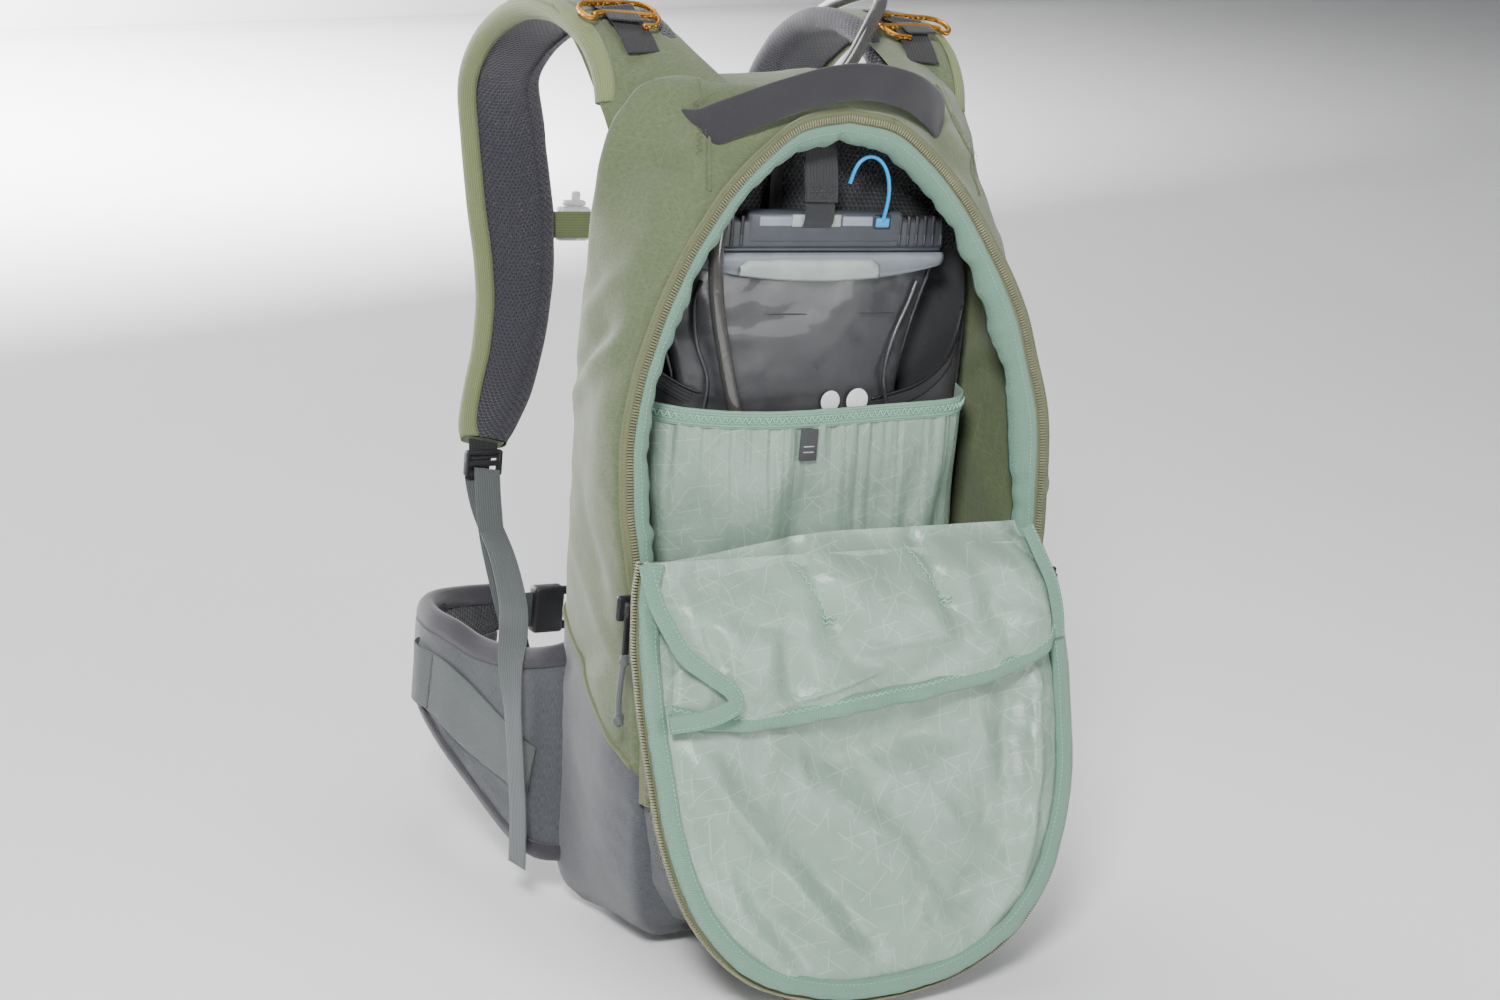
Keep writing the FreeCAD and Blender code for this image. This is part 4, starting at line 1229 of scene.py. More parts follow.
def closure():
    """Slide bar that closes the bladder, with its grips, window and lip."""
    bar = rounded_block("bar_body", (-88, -1.5, 416), (88, 12, 436), 4.0, "bar", "bag", 4)
    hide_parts("closure_bar")
    rounded_block("bar_crest", (-52, -1.9, 420), (56, 9, 440), 3.0, "bar", "bag", 3)
    rounded_block("bar_rail", (-84, -2.6, 416), (84, 0, 418.2), 0.9, "bar", "bag")
    insets = (((-44, -2.6, 431), (-22, 0, 437), "strip"), ((-22, -2.3, 430.5), (12, 0, 438), "pill"),
              ((13, -2.6, 431), (34, 0, 437), "strip"), ((34.5, -2.3, 429), (47, 0, 438), "black"))
    for index, (low, high, key) in enumerate(insets):
        rounded_block("bar_inset_%d" % index, low, high, 0.9, key, "bag")
    for index in range(11):
        x = -83.0 + 6.6 * index if index < 5 else 53.0 + 6.0 * (index - 5)
        rounded_block("bar_grip_%d" % index, (x, -2.0, 419), (x + 2.8, 4, 437.5), 0.8,
                      "black", "bag", 2)
        rounded_block("bar_tooth_%d" % index, (x + 0.5, -2.3, 419.5), (x + 1.9, 4, 426), 0.6,
                      "bar", "bag", 2)
    # Black strip in the gap between the bar and the lip: painted shade in that slot.
    rounded_block("bar_gap_painted_shade", (-80, -1.2, 414.6), (84, 6, 416.4), 0.6, "gap_shade_black", "bag", 2)
    across = np.linspace(-86, 86, 70)
    drop = lip_depth(across)
    face = [[(x, -1.4 - 2.2 * math.sin(math.pi * min(t + 0.12, 1)), 415 - t * d)
             for x, d in zip(across, drop)] for t in np.linspace(0, 1, 10)]
    lip = grid("lip_band", face, "bar_light", "bag", thick=1.4)
    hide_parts("lip_panel")
    across = np.linspace(-56, 40, 50)
    low = 415 - lip_depth(across) + 0.6
    top = 411.5 - 4 * slice_of(np.abs(across + 8), 42, 48)
    panel = [[(x, -4.0 - 1.2 * math.sin(math.pi * t), z1 + (z0 - z1) * t)
              for x, z0, z1 in zip(across, low, top)] for t in np.linspace(0, 1, 9)]
    grid("lip_panel_raised", panel, "pill", "bag", thick=1.4)
    button = rounded_block("button_body", (35.5, -4.4, 430.5), (45, -1.8, 436.5), 1.3,
                           "blue", "bag")
    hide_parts("tether_button")
    hanger = webbing("hanger_web", [(-5, 20, 489), (-5, 12, 489), (-5, 5, 483), (-5, 0, 470),
                                    (-5, -3.5, 456), (-5, -5.5, 446)],
                     22, 1.9, (1, 0, 0), "black_web", "bag", 60,
                     widths=(14, 19, 22, 23, 23, 22))
    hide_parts("hanger_strap")
    webbing("hanger_loop", [(-5, -2.5, 450), (-5, -4.6, 441), (-5, -4.2, 434), (-5, -1.5, 430)],
            20, 0.9, (1, 0, 0), "black_cloth", "bag", 24)
    for z in (449, 452.5, 456):
        line = arr([(-14 + 18 * t, -6.6 + 0.12 * (z - 449), z) for t in np.linspace(0, 1, 8)])
        stitches("hanger_stitches", line, repeated((0, -1.0, 0), 8), "bar", "bag",
                 2.6, 1.8, 0.5)


# ---- cords -------------------------------------------------------------------
HOSE = [
    (-34, -15.5, 142), (-36, -15.7, 180), (-40, -15.5, 222), (-46, -15.6, 266), (-54, -15.5, 310),
    (-66, -15.2, 350), (-76, -13.5, 390), (-77, -10, 430), (-60, -3, 465), (-28, 8, 487), (4, 20, 504),
    (30, 34, 524), (56, 58, 546), (82, 88, 558), (98, 122, 562), (104, 160, 556), (107, 198, 545),
    (109, 236, 524), (109, 263, 490), (98, 275, 448), (88, 278, 404), (84, 278, 364), (84, 276, 330),
]
TETHER = [
    (15.6, -2, 457), (17, -3.5, 467), (23.5, -5, 474), (32, -6, 473), (38.5, -6.5, 465),
    (41, -6.5, 454), (41, -5.5, 443.5), (40, -3.6, 434.3),
]
PULL = [
    (-147.5, -71, 195.8), (-148.1, -70.8, 186), (-148.6, -70.2, 176), (-148.4, -69.6, 166),
    (-147.6, -69.8, 157),
]
HOSE_DIAMETER, TETHER_DIAMETER, PULL_DIAMETER = 9.0, 2.5, 3.6


def cord_curve(name, points, diameter):
    """NURBS line through given points, with a round section; no section if diameter is 0."""
    curve = bpy.data.curves.new(name, "CURVE")
    curve.dimensions = "3D"
    curve.resolution_u = 12
    curve.bevel_depth = diameter / 2 * MM
    curve.bevel_resolution = 5
    curve.use_fill_caps = diameter > 0
    line = curve.splines.new("NURBS")
    line.points.add(len(points) - 1)
    for target, (x, y, z) in zip(line.points, points):
        target.co = (x * MM, y * MM, z * MM, 1)
    line.order_u = 3
    line.use_endpoint_u = True
    return in_scene(name, curve)


def as_mesh(curve_obj, name):
    """Mesh made from a curve object, which is then removed."""
    bpy.context.view_layer.update()
    mesh = bpy.data.meshes.new_from_object(curve_obj)
    mesh.name = name
    bpy.data.objects.remove(curve_obj)
    return mesh


def drink_hose():
    line = as_mesh(cord_curve("hose_line", HOSE, 0), "hose_line")
    mesh = as_mesh(cord_curve("hose_tube", HOSE, HOSE_DIAMETER), "hose_tube")
    shade_smooth(mesh)
    mesh.materials.clear()
    hose = new_object("drink_hose_tube", mesh, "hose", None)
    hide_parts("drink_hose")
    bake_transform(hose)
    valve = bite_valve()
    rings = []
    for z, radius in ((126, 7.5), (129, 8.2), (133, 7.0), (134, 6.0), (141, 5.8), (143, 6.2), (144, 5.0)):
        rings.append([(-34 + radius * math.cos(a), -15.5 + radius * math.sin(a), z)
                      for a in full_turn(20)])
    port = tube_mesh("hose_port_body", arr(rings), "bar", "bag")
    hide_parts("hose_port")


def bite_valve():
    start = arr(HOSE[-1])
    down = unit(start - arr(HOSE[-2]))
    side = unit(np.cross(down, arr([0, 1.0, 0])))
    other = np.cross(down, side)
    rings = []
    for s, r in ((0, 5.2), (0.5, 6.8), (5, 7.1), (14, 6.6), (19, 7.1), (20.5, 5.6), (22, 5.4), (26, 6.6),
                 (36, 5.4),
                 (41, 4.4), (42, 2.5)):
        flat = 1.0 - 0.35 * slice_of(s, 24, 40)
        rings.append([start + down * s + side * r * math.cos(a) + other * r * flat * math.sin(a)
                      for a in full_turn(24)])
    valve = tube_mesh("bite_valve_body", arr(rings), "bar", "strap_right")
    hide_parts("bite_valve")
    return valve


def tether():
    cord = cord_curve("tether_loop", TETHER, TETHER_DIAMETER)
    cord.data.materials.append(MATERIALS["blue"])
    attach(cord, "bag")
    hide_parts("tether_cord")


def ellipsoid(name, centre, radii, look, body, twist=0.0):
    rings = []
    for k in np.linspace(-0.96, 0.96, 13):
        size = math.sqrt(1 - k * k)
        ring = []
        for a in full_turn(18):
            ridge = 1 + 0.13 * math.sin(3 * a + twist * k)
            ring.append((centre[0] + radii[0] * size * ridge * math.cos(a),
                         centre[1] + radii[1] * size * ridge * math.sin(a), centre[2] + radii[2] * k))
        rings.append(ring)
    return tube_mesh(name, arr(rings), look, body)


def zip_pulls():
    """Sliders of both zips with their tabs and knotted cords."""
    for side, sign in (("left", 1), ("right", -1)):
        def box(name, low, high, radius, body):
            return side_block(name, side, low, high, radius, "slider", body)
        slider = box("slider_body", (-152, -67.6, 214), (-143, -63.4, 229), 1.6, "zip_slider_" + side)
        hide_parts("zip_slider_" + side)
        box("slider_bridge", (-149.2, -73.2, 217.5), (-145.8, -67, 226.5), 1.4, "zip_slider_" + side)
        tab = box("pull_plate", (-149.6, -72.4, 195), (-145.4, -70, 224), 1.1, "pull_" + side)
        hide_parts("pull_tab_" + side)
        points = [(x * sign, y, z) for x, y, z in PULL]
        cord = cord_curve("pull_string_" + side, points, PULL_DIAMETER)
        cord.data.materials.append(MATERIALS["cord"])
        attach(cord, "pull_" + side)
        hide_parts("pull_cord_" + side)
        end = points[-1]
        knot = ellipsoid("pull_knot_" + side, (end[0], end[1], end[2] - 1), (3.2, 3.0, 4.6), "cord",
                         "pull_" + side, 4.0)
        ellipsoid("pull_wrap_" + side, (points[0][0], points[0][1], 192), (2.9, 2.7, 4.2), "cord",
                  "pull_" + side, 5.0)
        pocket = box("pocket_slider_body", (-136.2, -70, 198), (-131.4, -62, 210), 1.3,
                     "pocket_slider_" + side)
        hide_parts("pocket_slider_" + side)
        box("pocket_slider_tab", (-138.6, -68.5, 173), (-136.4, -63.8, 205), 0.9, "pocket_slider_" + side)


# ---- pocket below the opening ------------------------------------------------
# Height, half-width, depth in front of the bag.
POCKET_ROWS = [(18, 84, 10), (45, 103, 25), (120, 122, 34), (200, 127, 28), (231, 124, 10)]


def front_pocket():
    z = np.linspace(18, 233, 70)
    heights, halves, depths = zip(*POCKET_ROWS)
    half, deep = np.interp(z, heights, halves), np.interp(z, heights, depths)
    front = np.interp(z, [s[0][2] for s in STATIONS[:6]], [s[0][1] for s in STATIONS[:6]])
    rows = []
    for k in range(len(z)):
        h, d, y = half[k], deep[k], front[k] - 0.3
        knots = [(-h - 5, y, z[k]), (-h - 4, y - d * 0.4, z[k]), (-h - 1, y - d * 0.85, z[k]),
                 (-h + 7, y - d, z[k]),
                 (-h * 0.5, y - d - 1.5, z[k]), (0, y - d - 2, z[k])]
        left = spline(knots, 26)
        rows.append(np.vstack([left, left[::-1][1:] * arr([-1, 1, 1])]))
    points = arr(rows)
    for name, key, slot_name, up in (("tool_pocket_upper", "sage", "sage_ripstop", True),
                                     ("tool_pocket_lower", "heather", "grey_heather", False)):
        skin = grid(name, points, key, "bag")
        cut_at_seam(skin, up)
        push(skin, lambda p, n: 1.1 * wobble(p, 34, 6.6) + 0.4 * wobble(p, 12, 3.3))
        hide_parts("front_pocket")
    for side, sign in (("left", 1), ("right", -1)):
        line = spline([(-131.2 * sign, -67, 214), (-129.5 * sign, -69.5, 180), (-126.5 * sign, -71.0, 130),
                       (-123.4 * sign, -69, 100)], 80)
        out = unit(repeated((-1.0 * sign, -0.5, 0), 80))
        tape = webbing("pocket_zip_tape_" + side, line, 13, 0.7, np.cross(out[0], UP), "zip_tape", "bag",
                       60)
        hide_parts("pocket_zips")
        zip_coil("pocket_zip_coil_" + side, line + out * 1.3, out, "coil", "bag",
                 1.6, 3.6, 1.8)
        mesh_rows = [[(-(103 + 19 * (h - 45) / 75.0 + 4.6) * sign, y, h) for y in np.linspace(-64, -82, 10)]
                     for h in np.linspace(60, 104, 14)]
        mesh = grid("gusset_mesh_" + side, mesh_rows, "black_mesh", "bag")
        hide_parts("pocket_gussets")


# ---- handle, straps and belt -------------------------------------------------
HANDLE_LINE = [
    (-92, 14, 484), (-86, 0, 487), (-76, -12, 495), (-50, -23, 508), (-20, -28.5, 518),
    (6, -29.5, 520.5), (34, -27, 516), (56, -20, 506), (70, -8, 495), (84, 14, 482),
]


def carry_handle():
    steps = 90
    path = spline(HANDLE_LINE, steps)
    across, deep = path_frames(path, (0, -0.1, 1))
    t = np.linspace(-1, 1, steps)
    width = 22 + 4 * np.abs(t) ** 3
    thick = 2.6 - 1.0 * np.abs(t) ** 6
    angles = full_turn(28)
    rings = []
    for i in range(steps):
        ring = []
        for a in angles:
            c, s = math.cos(a), math.sin(a)
            x = width[i] / 2 * blunt(c, 0.6)
            y = thick[i] * blunt(s, 0.8)
            y += 0.7 * wobble((i * 2.0, x, 0), 14, 2.0)
            ring.append(path[i] + across[i] * x + deep[i] * y)
        rings.append(ring)
    handle = tube_mesh("handle_grip", arr(rings), "slate_plain", "handle")
    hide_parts("carry_handle")


def draped(points, cloth, count, lift=0.6):
    """A line laid on a cloth mesh: each point moved to the nearest place on it; returns line, normals."""
    line = spline(points, count)
    out, normals = [], []
    for p in line:
        _, at, normal, _ = cloth.closest_point_on_mesh(Vector(p * MM))
        centre = arr([0, 0, p[2]]) - p
        n = arr(normal)
        if np.dot(n, centre) > 0:
            n = -n
        out.append(arr(at) / MM + n * lift)
        normals.append(n)
    return arr(out), arr(normals)


def body_seams(upper):
    """Seams that run from the strap roots down to the zip, with a bar-tack beside the handle."""
    for side, sign in (("left", 1), ("right", -1)):
        shift = 0 if sign > 0 else 13
        knots = [(-(76 + shift) * sign, 30, 512), (-(79 + shift) * sign, 12, 503),
                 (-(83 + shift) * sign, -2, 491),
                 (-(87 + shift) * sign, -13, 474), (-(90 + shift) * sign, -22, 455)]
        line, normals = draped(knots, upper, 60)
        piping("shoulder_seam_" + side, line, 0.9, "sage", "bag", 6)
        stitches("shoulder_seam_stitches_" + side, line + arr([-2.6 * sign, 0, 0]) + normals * 0.4, normals,
                 "thread_dark", "bag", 2.6, 1.7, 0.35)
        tack, facing = draped([(k[0] - 7 * sign, k[1], k[2]) for k in knots[1:4]], upper, 24, 0.4)
        zigzag("shoulder_tack_" + side, tack, facing, "thread_dark", "bag", 2.0, 3.6, 0.3)


STRAP = [
    (98, 54, 494, 58), (98, 61, 512, 60), (99, 80, 529, 62), (101, 115, 540, 62), (102, 158, 540, 62),
    (104, 195, 529, 60), (106, 226, 510, 56), (105, 249, 483, 52), (95, 259, 445, 55),
    (86, 262, 403, 57), (80, 262, 365, 54), (79, 261, 333, 50), (85, 254, 300, 46), (95, 245, 275, 42),
    (106, 234, 256, 34), (109, 228, 247, 28),
]
STRAP_STEPS = 130


def strap_frame(side):
    rows = spline([(-x, y, z, w) for x, y, z, w in STRAP], STRAP_STEPS)
    path, half = rows[:, :3], rows[:, 3] / 2
    across, deep = path_frames(path, (1, 0, 0))
    if side == "right":
        flip = arr([-1, 1, 1])
        path, across, deep = path * flip, across * flip, deep * flip
    return path, half[:, None], across, deep


def strap_panel(frame_of, offsets):
    path, half, across, deep = frame_of
    return np.stack([path + across * (half * a + b) + deep * d for a, b, d in offsets], axis=1)


def shoulder_strap(side):
    body = "strap_" + side
    parts = strap_frame(side)
    path, half, across, deep = parts
    crown = [(a, 0, -(5.0 + 1.6 * (1 - a * a))) for a in np.linspace(-0.86, 0.80, 14)]
    outer = grid("strap_outer_" + side, strap_panel(parts, crown), "sage", body)
    push(outer, lambda p, n: 0.7 * wobble(p, 26, 4.2) + 0.3 * wobble(p, 9, 1.0))
    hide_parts("strap_pad_" + side)
    inner = [(a, 0, 5.2 + 2.6 * (1 - a * a)) for a in np.linspace(-0.9, 0.9, 14)]
    mesh = grid("strap_lining_" + side, strap_panel(parts, inner), "slate_mesh", body)
    push(mesh, lambda p, n: 0.9 * wobble(p, 30, 7.0))
    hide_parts("strap_mesh_" + side)
    edge = [(-1, 8.5, -6.4), (-1, 6, -6.5), (-1, 2.5, -5.8), (-1, 0, -3.4), (-1, -1.2, 0), (-1, -0.6, 3.2),
            (-1, 1.6, 5.8), (-1, 5, 7.4), (-1, 8.5, 8.1)]
    grid("strap_edge_near_" + side, strap_panel(parts, edge), "olive", body, thick=0.8)
    line = path + across * (7.5 - half) + deep * 8.5
    stitches("strap_stitches_near_" + side, line, deep, "thread_dark", body, 2.6, 1.7, 0.4)
    far = [(1, -10, -6.1), (1, -6, -7.2), (1, -2, -6.6), (1, 1.0, -4), (1, 2.2, 0), (1, 1.4, 4), (1, -2, 7),
           (1, -8, 8)]
    puffed = grid("strap_edge_far_" + side, strap_panel(parts, far), "slate_mesh", body)
    push(puffed, lambda p, n: 0.8 * wobble(p, 24, 9.0))
    outline = [(0.98, 0, -5), (1, 0, 0), (0.95, 0, 5), (0, 0, 6.5), (-0.95, 0, 5), (-1, 0, 0),
               (-0.98, 0, -5), (0, 0, -6.5)]
    caps = strap_panel(parts, outline)
    for name, at in (("top", 0), ("end", -1)):
        centre = path[at]
        ring = caps[at]
        shut = [ring, centre + (ring - centre) * 0.6, centre + (ring - centre) * 0.2]
        grid("strap_%s_%s" % (name, side), arr(shut), "sage", body, closed=True)


def sided(points, side):
    points = arr(points)
    return points if side == "left" else points * arr([-1, 1, 1])


def shoulder_yoke(side, upper):
    """Cloth that carries the bag's corner on into the root of the strap."""
    path, half, across, deep = strap_frame(side)
    bag_edge = sided([(-128, 26, 462), (-120, 14, 480), (-104, 6, 494), (-84, 8, 505),
                      (-62, 14, 512)], side)
    low, _ = draped(bag_edge, upper, 30, 0.1)
    rows = []
    for t in np.linspace(0, 1, 18):
        at = 6 + int(round(22 * t))
        spread = np.linspace(-1, 1, 30)[:, None]
        high = path[at] + across[at] * half[at] * 1.03 * spread - deep[at] * (7.4 - 3.5 * spread ** 4)
        share = float(slice_of(t, 0, 0.7))
        rows.append(low * (1 - share) + high * share)
    cloth = grid("yoke_" + side, rows, "sage", None)
    push(cloth, lambda p, n: 0.8 * wobble(p, 24, 6.2))
    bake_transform(cloth)


# Wires of the open hook, in its own plane: name, places, steps, width, thickness.
HOOK_TILT = 24
HOOK_PLACE = (-104, 82, 543.6)
HOOK_WIRES = [
    ("frame", [(24, -2), (25, 6), (21, 12), (12, 14), (-8, 13), (-20, 11), (-25, 5), (-24, -3), (-20, -6),
               (-17, -3)], 110, 3.4, 2.1),
    ("bar", [(25, 0), (18, 0), (4, 1.0), (-10, 1.5), (-18, -1.5)], 40, 3.6, 3.0),
    ("nose", [(25, 0), (24, -6), (19, -12), (10, -13.5)], 40, 3.4, 2.1),
]
LIFTER_WIDTH, LIFTER_THICK = 22, 0.9


def lifter(side):
    """Load lifter: webbing over the top of the strap, and the open hook that joins its halves."""
    body = "strap_" + side
    low = sided([(-98, 58, 524), (-99, 68, 533), (-100, 78, 540), (-101, 86, 544.5), (-102, 91, 548)], side)
    web = webbing("lifter_strap_" + side, low, LIFTER_WIDTH, LIFTER_THICK, (1, 0, 0), "black_web", body,
                  40)
    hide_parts("lifter_web_" + side)
    high = sided([(-104, 72, 541), (-103, 84, 545), (-102.5, 98, 546.5), (-102, 114, 549),
                  (-102, 126, 549.0)], side)
    webbing("lifter_anchor_" + side, high, LIFTER_WIDTH, LIFTER_THICK, (1, 0, 0), "black_web", body,
            40)
    tilt = math.radians(HOOK_TILT)
    u = arr([1.0 if side == "left" else -1.0, 0, 0])
    v = arr([0, math.cos(tilt), math.sin(tilt)])
    base = sided([HOOK_PLACE], side)[0]
    for name, knots, count, width, thick in HOOK_WIRES:
        line = [base + u * a + v * b for a, b in knots]
        if name == "frame":
            line = spline(line, count)
        wire = webbing("hook_%s_%s" % (name, side), line, width, thick, np.cross(u, v), "gold",
                       "hook_" + side, count)
        if name == "frame":
            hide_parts("lifter_hook_" + side)


# Bars of the left ladder lock: two cheeks, then three rungs.
LADDER_BARS = [
    ((-124, 218, 226), (-121, 224, 243)), ((-101, 218, 226), (-98, 224, 243)),
    ((-123, 218.4, 225.6), (-99, 223.6, 229)), ((-123, 218, 232.4), (-99, 223, 235.8)),
    ((-123, 218.4, 240), (-99, 223.6, 243.2)),
]


def ladder_lock(side):
    body = "strap_" + side
    for index, (low, high) in enumerate(LADDER_BARS):
        piece = side_block("lock_bar_%d" % index, side, low, high, 1.2, "black", body)
        if index == 0:
            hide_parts("ladder_lock_" + side)
    tongue = sided([(-108, 231, 252), (-109.5, 226, 246), (-111, 222, 241), (-111, 221, 237)], side)
    webbing("lock_tongue_" + side, tongue, 20, 0.9, (1, 0, 0), "black_web", body, 20)


LOWER_HELD = [
    (-111, 214, 232), (-115, 198, 210), (-118, 180, 188), (-118, 140, 140), (-118, 100, 88),
    (-118, 70, 52), (-118, 56, 42),
]
LOWER_TAIL = [
    (-111, 227.6, 238), (-112, 227, 224.5), (-114, 207, 205), (-121, 160, 188), (-134, 112, 173),
    (-148, 78, 163), (-156, 62, 147), (-157, 52, 120), (-156, 45, 88), (-154, 41, 55), (-152, 42, 24),
]
TAIL_WIDTH_AXES = [(1, 0, 0)] * 4 + [(1, -0.2, 0), (1, -0.5, 0), (0.5, -1, 0)] + [(0.18, -1, 0)] * 4


WEB_WIDTH, WEB_THICK = 18, 0.8


def lower_webbing(side):
    """Webbing from the bag up to the ladder lock, and its free tail."""
    across = {"held": (1, 0, 0), "tail": sided(TAIL_WIDTH_AXES, side)}
    for name, places, count in (("held", LOWER_HELD, 80), ("tail", LOWER_TAIL, 110)):
        web = webbing("lower_%s_%s" % (name, side), sided(places, side), WEB_WIDTH, WEB_THICK, across[name],
                      "web", None, count)
        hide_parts("lower_web_" + side)
        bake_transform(web)


def sternum(side):
    body = "sternum_" + side

    def box(name, low, high, radius):
        return side_block(name, side, low, high, radius, "clear", body)

    line = sided([(-96, 271, 386), (-80, 271.5, 386), (-62, 266.5, 386), (-42, 264.8, 386),
                  (-22, 264.8, 386)], side)
    strap = webbing("sternum_web_" + side, line, 18, 0.8, (0, 0, 1), "olive_web", body, 30)
    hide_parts("sternum_strap_" + side)
    box("sternum_slider", (-98, 268.2, 374), (-88, 272.6, 398), 1.5)
    clip = box("sternum_clip_body", (-46, 266.2, 374.5), (-22, 273.8, 397.5), 2.4)
    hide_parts("sternum_clip_" + side)
    box("sternum_clip_nub", (-36, 268, 395), (-30, 272, 408), 1.6)
    box("sternum_clip_top", (-42, 267, 398), (-26, 273, 402), 1.6)


WING = [
    (122, 44, 24, 166), (136, 50, 26, 161), (143, 75, 32, 153), (152, 112, 50, 148),
    (160, 140, 66, 152), (163, 166, 80, 152), (156, 196, 88, 150), (138, 221, 92, 147),
    (112, 239, 95, 143), (84, 249, 98, 140),
]
WING_STEPS = 90
WING_BAND = [(64, 94), (69, 105), (76, 118), (88, 128), (92, 130)]


def wing_frame(side):
    rows = spline([(-x, y, lo, hi) for x, y, lo, hi in WING], WING_STEPS)
    path = np.stack([rows[:, 0], rows[:, 1], rows[:, 0] * 0], axis=1)
    out = unit(np.cross(tangents(path), UP))
    if out[WING_STEPS // 2][0] > 0:
        out = -out
    if side == "right":
        path, out = path * arr([-1, 1, 1]), out * arr([-1, 1, 1])
    return path, out, rows[:, 2], rows[:, 3]


def wing_panel(frame_of, profile):
    """Grid over the wing: profile rows are (share of the height, mm more, mm outwards)."""
    path, out, low, high = frame_of
    cols = []
    for share, more, stand in profile:
        z = low + (high - low) * share + more
        cols.append(path + out * stand + z[:, None] * UP)
    return np.stack(cols, axis=1)


def belt_wing(side):
    body = "wing_" + side
    parts = wing_frame(side)
    path, out, low, high = parts
    profile = [(s, 0, 4.0 + 2.6 * math.sin(math.pi * s) ** 0.6) for s in np.linspace(0.03, 0.97, 26)]
    outer = grid("wing_outer_" + side, wing_panel(parts, profile), "heather", body)

    def quilt(p, n):
        near = abs(p[2] - np.interp(abs(p[1]), [37, 112, 249], [46, 74, 108]))
        return 0.9 * wobble(p, 30, 5.0) + 0.4 * wobble(p, 11, 3.0) - 1.6 * math.exp(-(near / 2.2) ** 2)

    push(outer, quilt)
    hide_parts("belt_wing_" + side)
    profile = [(s, 0, -4.0 - 1.5 * math.sin(math.pi * s) ** 0.6) for s in np.linspace(0.03, 0.97, 16)]
    inner = grid("wing_inner_" + side, wing_panel(parts, profile), "black_mesh", body)
    push(inner, lambda p, n: 0.8 * wobble(p, 26, 8.0))
    for name, share, sign in (("low", 0.0, -1), ("high", 1.0, 1)):
        profile = [(share, -11 * sign, 6.1), (share, -6 * sign, 6.0), (share, -2.4 * sign, 5.0),
                   (share, 0.3 * sign, 3.0),
                   (share, 1.2 * sign, 0), (share, 0.3 * sign, -3.2), (share, -4 * sign, -5.4),
                   (share, -11 * sign, -5.9)]
        grid("wing_binding_%s_%s" % (name, side), wing_panel(parts, profile), "slate", body,
             thick=0.8)
    for k in range(5):
        z = low + (high - low) * (0.86 - 0.05 * k)
        line = (path - out * 5.9 + z[:, None] * UP)[8:-20]
        piping("wing_grip_%d_%s" % (k, side), line, 0.8, "silicone", body, 6)
    tip = [(0, 0, 4), (0.5, 0, 6), (1, 0, 4), (1, 0, -4), (0.5, 0, -5), (0, 0, -4)]
    ring = wing_panel(parts, tip)[-1]
    middle = ring.mean(axis=0)
    shut = arr([ring, middle + (ring - middle) * 0.1])
    grid("wing_end_" + side, shut, "slate", body, closed=True)


def belt_band(side):
    body = "wing_" + side
    path, out, _, _ = wing_frame(side)
    share = np.interp(path[:, 1], [37, 75, 112, 140, 166], np.arange(5))
    z = np.interp(share, np.arange(5), [(a + b) / 2 for a, b in WING_BAND])
    width = np.interp(share, np.arange(5), [b - a for a, b in WING_BAND])
    seen = np.where((path[:, 1] > 50) & (path[:, 1] < 172))[0]
    line = (path + out * 7.8 + z[:, None] * UP)[seen]
    band = webbing("belt_web_" + side, line[::2], 34, 0.9, (0, 0, 1), "web", body, 60,
                   widths=list(width[seen][::4]))
    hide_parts("belt_band_" + side)
    narrow = sided([(-100, 248, 119.5), (-82.6, 250.2, 119.5), (-60, 253.5, 119.5),
                    (-50, 254, 119.5)], side)
    webbing("belt_web_end_" + side, narrow, 25, 0.9, (0, 0, 1), "web", body, 30)
    loop = sided([(-170.5, 150, 110), (-174, 162, 111), (-173, 172, 112), (-167, 176, 113),
                  (-163, 172, 113)], side)
    webbing("belt_loop_" + side, loop, 38, 0.9, (0, 0, 1), "web", body, 24)


# Walls of the buckle's socket: back, front, root, floor and roof.
SOCKET_WALLS = [
    ((14, 247, 102), (52.5, 250.5, 137)), ((14, 257.5, 102), (52.5, 261, 137)),
    ((34, 249, 102), (52.5, 259, 137)), ((14, 249, 102), (52.5, 259, 103.6)),
    ((14, 249, 135.4), (52.5, 259, 137)),
]


def belt_buckle():
    male = rounded_block("buckle_male_body", (-52.5, 248.4, 103), (-30, 260, 136), 2.6,
                         "black", "wing_left")
    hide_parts("belt_buckle_male")
    for low, high in ((104, 110), (129, 135)):
        rounded_block("buckle_prong_%d" % low, (-31, 252.2, low), (-14, 255.8, high), 1.2,
                      "black", "wing_left")
    rounded_block("buckle_rib", (-48, 259.4, 108), (-34, 261, 131), 0.7, "black", "wing_left")
    for index, (low, high) in enumerate(SOCKET_WALLS):
        piece = rounded_block("buckle_female_%d" % index, low, high, 0.7, "black", "wing_right")
        if index == 0:
            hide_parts("belt_buckle_female")


# ---- the wearer's side -------------------------------------------------------
PAD_BACK_Y = 50
PAD_VOXEL_M = 0.005
SWELL_PRESSURE = 4.0
SWELL_FRAMES = 20
SWELL_CAP = 6.0


def evaluated_mesh(obj):
    graph = bpy.context.evaluated_depsgraph_get()
    return bpy.data.meshes.new_from_object(obj.evaluated_get(graph))


